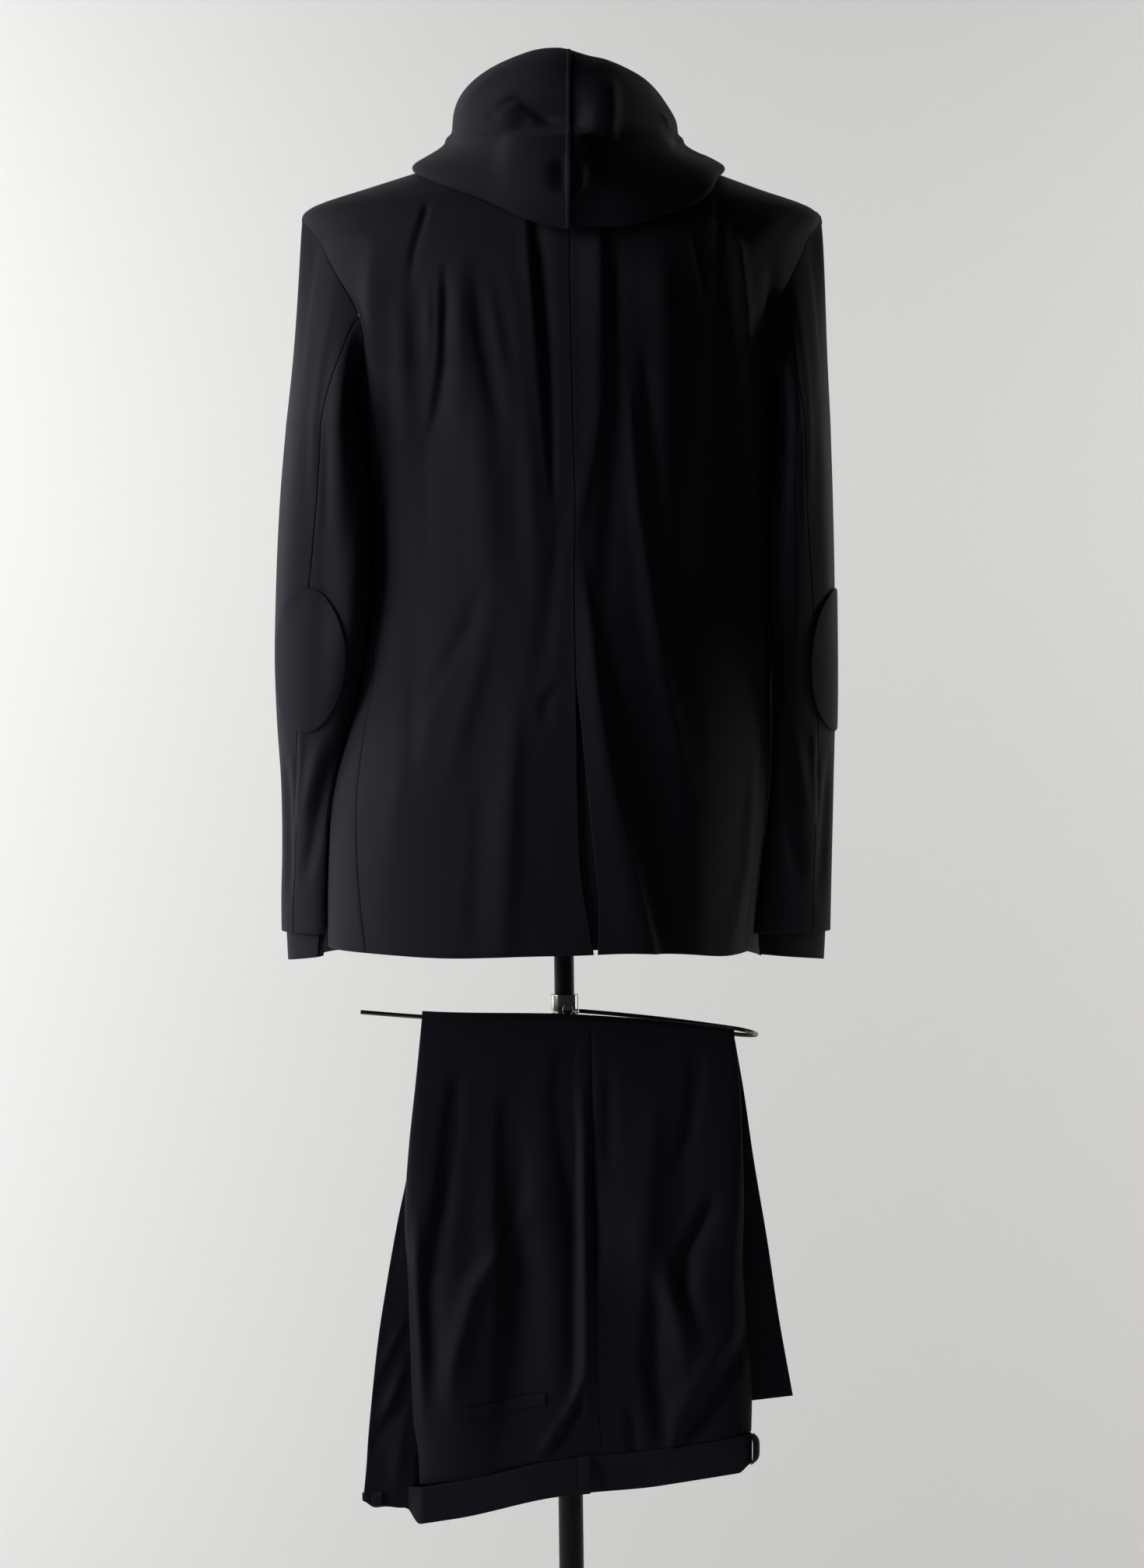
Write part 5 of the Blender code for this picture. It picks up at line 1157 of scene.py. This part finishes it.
for side, label in sides:
    foot = suit["breakHeight"] + 0.010 if side > 0 else suit["rightLapelFoot"]
    levels = np.concatenate([
        np.linspace(foot, jacket["notchFoot"], 60), np.linspace(jacket["notchTop"], jacket["lapelTop"], 16)
    ])
    inner = rollEdge if side > 0 else coveredEdge
    turn, height = panelGrid(lapelEdge, inner, levels, jacket["lapelColumns"])
    lift = frontLift(side, turn, height) + suit["cloth"] + jacket["lapelLift"]
    lapel, points = bodySheet(f"lapel{label}", side, turn, height, lift)
    sheetPiece(
        lapel, points, nodeOf("lapel", label), jacket["lapelFlat"], jacket["lapelArea"],
    )
print("jacket body made")

# ---- sleeves, inner cuffs and elbow patches
sleeveSizes = {
    "capRows": 40,
    "tubeRows": 92,
    "frontSeam": -105.0,
    "halfGap": 0.16,
    "topColumns": 86,
    "underColumns": 66,
    "topFlat": (0.210, 0.690),
    "topArea": 0.108,
    "underFlat": (0.165, 0.560),
    "underArea": 0.086,
    "cuffFlat": (0.300, 0.036),
    "cuffRun": 1.935,
    "cuffInward": (0.0031, 0.0013),
    "cuffShorter": 0.009,
    "patchFlat": (0.094, 0.133),
    "patchArea": 0.0098,
    "patchLift": 0.0012,
    "patchWall": 0.0012,
    "patchHalfHeight": 0.066,
    "patchHalfWidth": 0.046,
    "patchHeight": 1.084,
    "patchTurn": {1: 76.0, -1: 30.0},
}


def onSleeve(side, low, high, run, columns):  # the sleeve's points and normals between two edges
    share = np.linspace(0, 1, columns)[None, :]
    phi = low + (high - low) * share
    steps = run + 0 * phi
    surface = sleeve(side)
    return surface(phi, steps), sleeveNormals(side, surface, phi, steps)


run = np.concatenate([
    np.linspace(0, 1, sleeveSizes["capRows"])[:-1], np.linspace(1, 2, sleeveSizes["tubeRows"])
])[:, None]
drop = suit["sleeveEnd"] - suit["capEnd"]
runHeight = np.where(
    run < 1, suit["shoulder"] + (suit["capEnd"] - suit["shoulder"]) * run, suit["capEnd"] + drop * (run - 1)
)
seam = along(sleeveSeam, "back", runHeight)
for side, label in sides:
    gap = sleeveSizes["halfGap"] * (0.25 + 0.75 * smooth(0.0, 0.15, run))
    frontSeam = sleeveSizes["frontSeam"]
    points, up = onSleeve(side, frontSeam + gap + 0 * seam, seam - gap, run, sleeveSizes["topColumns"])
    top = cloth(f"sleeveTop{label}", points, points - up * suit["cloth"], suitCloth)
    sheetPiece(
        top, points, nodeOf("sleeve_top", label), sleeveSizes["topFlat"], sleeveSizes["topArea"],
    )
    end = frontSeam + 360.0 - gap + 0 * seam
    points, up = onSleeve(side, seam + gap, end, run, sleeveSizes["underColumns"])
    under = cloth(f"sleeveUnder{label}", points, points - up * suit["cloth"], suitCloth)
    sheetPiece(
        under, points, nodeOf("sleeve_under", label), sleeveSizes["underFlat"], sleeveSizes["underArea"],
    )
    phi = np.arange(0, 360, 2.5)[None, :]
    surface = sleeve(side)
    steps = np.concatenate([np.linspace(sleeveSizes["cuffRun"], 2.0, 8), np.full(8, 2.0)])
    steps = steps[:, None] + 0 * phi
    below = np.concatenate([np.zeros(8), np.linspace(0.12, 1.0, 8)])[:, None]
    points = surface(phi, steps)
    up = sleeveNormals(side, surface, phi, np.minimum(steps, 1.98))
    inward, further = sleeveSizes["cuffInward"]
    inward = (inward + further * below)[..., None]
    shorter = sleeveSizes["cuffShorter"] * (1 - np.cos(np.radians(phi))) / 2
    drops = below * (suit["cuffDrop"] - shorter)
    outside = points - up * (suit["cloth"] + inward)
    outside[..., 2] -= drops
    cuff = cloth(f"innerCuff{label}", outside, outside - up * suit["cloth"], suitCloth, closed=True)
    sheetPiece(
        cuff, np.concatenate([outside, outside[:, :1]], axis=1), nodeOf("inner_cuff", label),
        sleeveSizes["cuffFlat"], None
    )
    level = np.sin(np.radians(np.linspace(-88, 88, 44)))[:, None]
    patchHeights = sleeveSizes["patchHeight"] + sleeveSizes["patchHalfHeight"] * level
    rows = sleeveRows[side]
    outer, inner, deep = (along(rows, name, patchHeights) for name in ("outer", "inner", "deep"))
    reach = np.sqrt((((outer - inner) / 2) ** 2 + deep**2) / 2)
    spread = np.degrees(sleeveSizes["patchHalfWidth"] * np.sqrt(1 - level**2) / reach)
    middle = sleeveSizes["patchTurn"][side]
    patchRun = 1 + (suit["capEnd"] - patchHeights) / -drop
    points, up = onSleeve(side, middle - spread, middle + spread, patchRun, 44)
    lift = sleeveSizes["patchLift"]
    outside = points + up * (lift + sleeveSizes["patchWall"])
    patch = cloth(f"elbowPatch{label}", outside, points + up * lift, suitCloth)
    sheetPiece(
        patch, points, nodeOf("elbow_patch", label), sleeveSizes["patchFlat"], sleeveSizes["patchArea"],
    )
print("sleeves made")

# ---- hood
hoodSizes = {
    "columns": 130,
    "rows": 150,
    "wall": 0.0018,
    "flat": (0.260, 0.310),
    "area": 0.063,
    "seamHalf": 0.08,
    "weltRun": (7 / 23, 18 / 23),
    "weltHalf": 1.2,
    "weltFlat": (0.010, 0.185),
    "weltArea": 0.00095,
}
share = np.linspace(0, 1, hoodSizes["columns"])[None, :]
run = np.linspace(0, 1, hoodSizes["rows"])[:, None] + 0 * share
for side, label in sides:
    start = hoodSizes["seamHalf"]
    angle = side * (start + (suit["hoodEnd"] - start) * share) + 0 * run
    points = hood(angle, run)
    up = -normals(hood, angle, run, 0.3, 0.004)
    half = cloth(f"hood{label}", points, points - up * hoodSizes["wall"], suitCloth)
    sheetPiece(
        half, points, nodeOf("hood", label), hoodSizes["flat"], hoodSizes["area"],
    )
steps = np.linspace(*hoodSizes["weltRun"], 70)[:, None] + np.zeros((1, 7))
reach = np.linspace(-hoodSizes["weltHalf"], hoodSizes["weltHalf"], 7)[None, :] + 0 * steps
points = hood(reach, steps)
up = -normals(hood, reach, steps, 0.3, 0.004)
crown = (0.0008 * np.cos(np.radians(np.linspace(-80, 80, 7))))[None, :, None]
outside = points + up * (suit["seamGap"] + 0.0010 + crown)
welt = cloth("hoodSeamWelt", outside, points + up * 0.0005, suitCloth)
sheetPiece(
    welt, points, "hood_seam_welt", hoodSizes["weltFlat"], hoodSizes["weltArea"],
)
print("hood made")

# ---- trousers
trouserPieces = {
    "seatRows": 74,
    "bendRows": 13,
    "legRows": 56,
    "columns": 62,
    "flat": {"Left": (0.190, 0.800), "Right": (0.160, 0.800)},
    "area": {"Left": 0.134, "Right": 0.106},
    "bandFlat": (0.735, 0.034),
    "bandWall": (0.0007, 0.0009),
    "weltFlat": (0.075, 0.011),
    "weltAcross": (0.28, 0.72),
    "weltRun": (-0.876, -0.850),
    "weltWall": 0.0011,
    "loopPlace": {"Centre": 0.273, "Right": 0.490, "Left": 0.062},
    "loopHalf": 0.005,
    "loopLift": 0.0012,
    "loopBow": 0.0052,
    "loopWall": 0.0012,
    "loopFlat": {"Centre": (0.010, 0.042), "Right": (0.010, 0.042), "Left": (0.010, 0.0225)},
}
run = np.concatenate([
    -np.linspace(1.0, 0.06, trouserPieces["seatRows"]),
    np.linspace(-0.05, 0.05, trouserPieces["bendRows"]),
    np.linspace(0.06, 1.0, trouserPieces["legRows"]),
])[:, None]
legEdges = {"Left": (0.001, 1 - trouserSizes["legGap"]), "Right": (1 + trouserSizes["legGap"], 1.999)}
for label, (low, high) in legEdges.items():
    t = np.linspace(0, 1, trouserPieces["columns"])[None, :]
    across = low + (high - low) * (t - 0.35 * np.sin(2 * np.pi * t) / (2 * np.pi)) + 0 * run
    for name, inner in (("front", True), ("back", False)):
        surface = layer(inner, inner and label == "Left")
        points = surface(across, run)
        up = layerNormals(surface, across, run)
        half = suit["trouserCloth"] / 2
        leg = cloth(f"trouser{name.title()}{label}", points + up * half, points - up * half, suitCloth)
        sheetPiece(
            leg, points, nodeOf(f"trouser_{name}", label), trouserPieces["flat"][label],
            trouserPieces["area"][label]
        )
share = (np.arange(420) / 420)[None, :]
down = np.linspace(0, 1, 16)[:, None]
points = bandLoop(share, down)
n = bandNormals(share, down)
outward, inward = trouserPieces["bandWall"]
band = cloth("trouserBand", points + n * outward, points - n * inward, suitCloth, closed=True)
sheetPiece(
    band, np.concatenate([points, points[:, :1]], axis=1), "waistband", trouserPieces["bandFlat"], None,
)
for name, at in trouserPieces["loopPlace"].items():
    down = np.linspace(-0.02, 1.02, 40)[:, None]
    fine = np.linspace(at - 0.06, at + 0.06, 400)
    route = bandLoop(fine, 0.0) + bandNormals(fine, 0.0) * 0.0045
    ran = np.cumsum(np.linalg.norm(np.diff(route, axis=0), axis=-1))
    reach = np.linspace(-1, 1, 8) * trouserPieces["loopHalf"]
    share = np.interp(ran[199] + reach, ran, fine[1:])[None, :]
    points = bandLoop(share, down)
    n = bandNormals(share, down)
    bow = trouserPieces["loopBow"] * np.clip(1 - (2 * down - 1) ** 4, 0, 1)
    bow = (trouserPieces["loopLift"] + bow)[..., None]
    outside = points + n * (bow + trouserPieces["loopWall"])
    loop = cloth(f"beltLoop{name}", outside, points + n * bow, suitCloth)
    sheetPiece(
        loop, points, nodeOf("belt_loop", name), trouserPieces["loopFlat"][name], None,
    )
surface = layer(False)
across, steps = np.meshgrid(
    np.linspace(*trouserPieces["weltAcross"], 40), np.linspace(*trouserPieces["weltRun"], 8)
)
points = surface(across, steps)
up = layerNormals(surface, across, steps)
base = suit["trouserCloth"] / 2 + suit["seamGap"]
outside = points + up * (base + trouserPieces["weltWall"])
pocket = cloth("backPocketWelt", outside, points + up * base, suitCloth)
sheetPiece(pocket, points, "back_pocket_welt", trouserPieces["weltFlat"], None)
print("trousers made")

# ---- dress form and stand
standSizes = {
    "poleRadius": 0.0092,
    "tubeRadius": 0.0115,
    "collarTop": 0.7745,
    "collarBottom": 0.7495,
    "collarRadius": 0.0130,
    "baseRadius": 0.185,
    "formBottom": 0.868,
    "poleFoot": -0.0055,
    "poleSlope": 0.0125,
    "screwHeight": 0.7615,
    "screwOffset": -0.003,
    "knurl": 0.00018,
    "baseTop": 0.0193,
    "flangeTall": 0.008,
    "formSquare": 2.2,
    "formMiddle": 0.003,
    "segments": 96,
}
formRows = table(
    "at half back front",
    (0.868, 0.150, 0.095, 0.088),
    (0.930, 0.165, 0.102, 0.092),
    (1.000, 0.162, 0.100, 0.092),
    (1.080, 0.152, 0.093, 0.090),
    (1.160, 0.148, 0.089, 0.090),
    (1.260, 0.162, 0.094, 0.096),
    (1.350, 0.176, 0.099, 0.099),
    (1.420, 0.183, 0.097, 0.092),
    (1.465, 0.176, 0.088, 0.078),
    (1.493, 0.150, 0.076, 0.066),
    (1.511, 0.112, 0.064, 0.055),
    (1.525, 0.078, 0.056, 0.050),
    (1.545, 0.058, 0.052, 0.048),
    (1.590, 0.054, 0.052, 0.049),
    (1.598, 0.050, 0.048, 0.045),
)


def rigid(thing, node):  # hides the solid that a hard piece stands for
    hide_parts(node)


angle = np.radians(np.arange(0, 360, 3.75))[None, :]
levels = np.concatenate([
    np.linspace(standSizes["formBottom"], 1.46, 70), np.linspace(1.463, formRows["at"][-1], 60)
])[:, None]
s, c = np.sin(angle), np.cos(angle)
n = standSizes["formSquare"]
k = (np.abs(s) ** n + np.abs(c) ** n) ** (-1 / n)
depth = np.where(c > 0, along(formRows, "back", levels), along(formRows, "front", levels))
x = along(formRows, "half", levels) * k * s + standSizes["formMiddle"]
rings = np.stack(np.broadcast_arrays(x, depth * k * c, levels), axis=-1)
rigid(loft("dressForm", rings, jersey), "dress_form")


def lean(height):  # how far to the left the pole's middle is: the stand leans a little
    return standSizes["poleFoot"] + standSizes["poleSlope"] * height


def turned(name, profile, made, segments=None, leaning=True):  # radius and height turned round the pole
    a = np.linspace(0, 2 * np.pi, segments or standSizes["segments"], endpoint=False)[None, :]
    radius = np.array([p[0] for p in profile])[:, None]
    level = np.array([p[1] for p in profile])[:, None] + 0 * a
    middle = lean(level) if leaning else standSizes["poleFoot"]
    return loft(name, np.stack([middle + radius * np.cos(a), radius * np.sin(a), level], axis=-1), made)


def rounded(profile, radius, steps=5):  # each inner corner of a profile becomes a short quadratic bend
    points = [profile[0]]
    for before, corner, after in zip(profile, profile[1:], profile[2:]):
        corner = np.array(corner, float)
        ends = []
        for other in (before, after):
            way = np.array(other, float) - corner
            size = np.linalg.norm(way)
            ends.append(corner + way / size * min(radius, size * 0.45))
        for t in np.linspace(0, 1, steps):
            points.append(tuple((1 - t) ** 2 * ends[0] + 2 * t * (1 - t) * corner + t * t * ends[1]))
    points.append(profile[-1])
    return points


gap = suit["seamGap"]
r = standSizes["baseRadius"]
baseProfile = [
    (0.002, 0.0), (r, 0.0), (r, 0.0115), (0.060, 0.0148), (0.026, 0.0165), (0.0160, 0.019), (0.002, 0.019)
]
base = turned("standBase", rounded(baseProfile, 0.0018), blackLacquer, 160, False)
rigid(base, "stand_base")
r, low, high = standSizes["tubeRadius"], standSizes["baseTop"], standSizes["collarBottom"] - gap
rigid(
    turned("standTube", rounded([(0.002, low), (r, low), (r, high), (0.002, high)], 0.0006), greyLacquer),
    "stand_tube"
)
r, low, high = standSizes["collarRadius"], standSizes["collarBottom"], standSizes["collarTop"]
collarProfile = [  # with a shallow groove round it
    (0.002, low), (r, low), (r, low + 0.0075), (r - 0.0006, low + 0.0080), (r - 0.0006, low + 0.0088),
    (r, low + 0.0093), (r, high), (0.0098, high), (0.002, high),
]
rigid(turned("clampCollar", rounded(collarProfile, 0.0007), chromePlate), "clamp_collar")
flangeFoot = standSizes["formBottom"] - standSizes["flangeTall"]
r, low, high = standSizes["poleRadius"], standSizes["collarTop"] + gap, flangeFoot - gap
rigid(
    turned("standPole", rounded([(0.002, low), (r, low), (r, high), (0.002, high)], 0.0005), blackLacquer),
    "stand_pole"
)
low, high = flangeFoot, standSizes["formBottom"] - gap
flange = [(0.002, low), (0.0375, low), (0.038, high), (0.002, high)]
rigid(turned("formFlange", rounded(flange, 0.0012), blackLacquer), "form_flange")
screwProfile = [  # radius and distance from the collar: a thin shank and a knurled head
    (0.0004, 0.0), (0.0026, 0.0), (0.0026, 0.004), (0.0048, 0.004), (0.0048, 0.0085), (0.0004, 0.0085)
]
profile = np.array(rounded(screwProfile, 0.0008))
a = np.linspace(0, 2 * np.pi, 64, endpoint=False)[None, :]
knurl = np.where(profile[:, :1] > 0.004, standSizes["knurl"] * np.cos(16 * a), 0)
radius = profile[:, :1] + knurl
out = standSizes["collarRadius"] + gap + profile[:, 1:] + 0 * a
level = standSizes["screwHeight"]
x = lean(level) + standSizes["screwOffset"] + radius * np.cos(a)
rings = np.stack([x, out, level - radius * np.sin(a)], axis=-1)
rigid(loft("thumbScrew", rings, chromePlate), "thumb_screw")

# the bar: its rear arm runs right from the collar, turns half round, and comes back as the front arm
half = bar["front"] / 2
begin = lean(along(barRows, "rear", 0.0)) - standSizes["collarRadius"] - gap
rearX = np.linspace(begin, bar["bend"] + 0.012, 24)
swing = np.linspace(0, np.pi, 33)
bendX = bar["bend"] - half * np.sin(swing)
frontX = np.linspace(bar["bend"] + 0.012, bar["end"], 44)
rearZ = along(barRows, "rear", bendX)
bendZ = rearZ + (barLine(bendX) - rearZ) * swing / np.pi
route = np.concatenate([
    np.stack([rearX, 0 * rearX, along(barRows, "rear", rearX)], axis=-1),
    np.stack([bendX, half - half * np.cos(swing), bendZ], axis=-1),
    np.stack([frontX, 0 * frontX + bar["front"], barLine(frontX)], axis=-1),
])
ahead = unit(np.gradient(route, axis=0))
beside = unit(np.cross(ahead, np.array([0, 0, 1.0])))
above = np.cross(beside, ahead)
a = np.linspace(0, 2 * np.pi, 20, endpoint=False)[None, :, None]
rings = route[:, None, :] + bar["rod"] * (beside[:, None, :] * np.cos(a) + above[:, None, :] * np.sin(a))
tip = rings[-1:].mean(axis=1, keepdims=True)
rings = np.concatenate([rings, tip + (rings[-1:] - tip) * 0.75 + ahead[-1] * 0.0006])
rigid(loft("trouserBar", rings, brownedSteel), "trouser_bar")

buttonSizes = {"heights": (1.185, 1.085), "stand": 0.0021}
buttonProfile = [
    (0.0003, 0.0), (0.0088, 0.0), (0.0096, 0.0010), (0.0094, 0.0024), (0.0082, 0.0026), (0.0072, 0.0019),
    (0.0003, 0.0017),
]
profile = np.array(rounded(buttonProfile, 0.0004))
a = np.linspace(0, 2 * np.pi, 64, endpoint=False)[None, :]
for number, height in enumerate(buttonSizes["heights"], 1):
    spot = body(180.0, height)
    up = bodyNormals(np.array(180.0), np.array(height))
    east = unit(np.cross(np.array([0, 0, 1.0]), up))
    north = np.cross(up, east)
    flatRings = profile[:, 0][:, None, None] * (np.cos(a)[..., None] * east + np.sin(a)[..., None] * north)
    foot = spot + up * (suit["cloth"] + buttonSizes["stand"])
    rings = foot + flatRings + profile[:, 1][:, None, None] * up
    rigid(loft(f"button{number}", rings, hornButton), f"button_{number}")
print("dress form, stand and buttons made")
for name, sizes in sheetSizes.items():
    print("sheet", name, sizes)


# ---- floor, lights and camera
studio = {
    "floor": (0.80, 0.80, 0.79),
    "keyPlace": (2.3, 0.58, 1.95),
    "keyAim": (0.1, 0.0, 1.2),
    "keySize": (1.4, 2.2),
    "keyPower": 53.0,
    "wallPlace": (1.9, -0.9, 1.5),
    "wallAim": (0.4, -2.2, 1.1),
    "wallSize": (0.6, 2.0),
    "wallPower": 28.2,
    "farPower": 18.6,
    "ambient": 0.022,
    "cameraPlace": (-0.0029, 4.0, 1.15),
    "cameraAim": (-0.0029, 0.0, 0.969),
    "lens": 99.4,
}
lead = np.stack([np.linspace(1.5, -1.0, 20), np.zeros(20)], axis=-1)
bendAngle = np.linspace(0, np.pi / 2, 40)[1:]
curve = np.stack([-1.0 - 1.2 * np.sin(bendAngle), 1.2 - 1.2 * np.cos(bendAngle)], axis=-1)
rise = np.stack([np.full(10, -2.2), np.linspace(1.3, 4.0, 10)], axis=-1)
profile = np.concatenate([lead, curve, rise])
across = np.linspace(-4.0, 4.0, 3)[None, :]
sweep = np.stack(np.broadcast_arrays(across, profile[:, :1], profile[:, 1:]), axis=-1)
quads = gridFaces(len(profile), 3, False)
mesh = bpy.data.meshes.new("studioSweep")
mesh.from_pydata(sweep.reshape(-1, 3).tolist(), [], quads.tolist())
mesh.shade_smooth()
paper = bpy.data.materials.new("palePaper")
paper.use_nodes = True
paper.node_tree.nodes["Principled BSDF"].inputs["Base Color"].default_value = (*studio["floor"], 1.0)
paper.node_tree.nodes["Principled BSDF"].inputs["Roughness"].default_value = 0.9
mesh.materials.append(paper)
sweepObject = bpy.data.objects.new("studioSweep", mesh)
scene.collection.objects.link(sweepObject)


def areaLight(name, place, aim, size, power):  # a rectangle that faces its aim
    data = bpy.data.lights.new(name, "AREA")
    data.shape = "RECTANGLE"
    data.size, data.size_y = size
    data.energy = power
    light = bpy.data.objects.new(name, data)
    light.location = place
    light.rotation_euler = (Vector(aim) - Vector(place)).to_track_quat("-Z", "Y").to_euler()
    scene.collection.objects.link(light)


areaLight("keyLight", studio["keyPlace"], studio["keyAim"], studio["keySize"], studio["keyPower"])
x, y, z = studio["wallPlace"]
aimX, aimY, aimZ = studio["wallAim"]
areaLight("wallLight", (x, y, z), (aimX, aimY, aimZ), studio["wallSize"], studio["wallPower"])
areaLight("farWallLight", (-x, y, z), (-aimX, aimY, aimZ), studio["wallSize"], studio["farPower"])
world = bpy.data.worlds.new("softRoom")
world.use_nodes = True
world.node_tree.nodes["Background"].inputs["Color"].default_value = (1, 1, 1, 1)
world.node_tree.nodes["Background"].inputs["Strength"].default_value = studio["ambient"]
scene.world = world
scene.view_settings.view_transform = "Standard"

cameraData = bpy.data.cameras.new("photoCamera")
cameraData.sensor_fit = "VERTICAL"
cameraData.sensor_height = 36.0
cameraData.lens = studio["lens"]
camera = bpy.data.objects.new("photoCamera", cameraData)
camera.location = studio["cameraPlace"]
way = Vector(studio["cameraAim"]) - Vector(studio["cameraPlace"])
camera.rotation_euler = way.to_track_quat("-Z", "Y").to_euler()
scene.collection.objects.link(camera)
scene.camera = camera
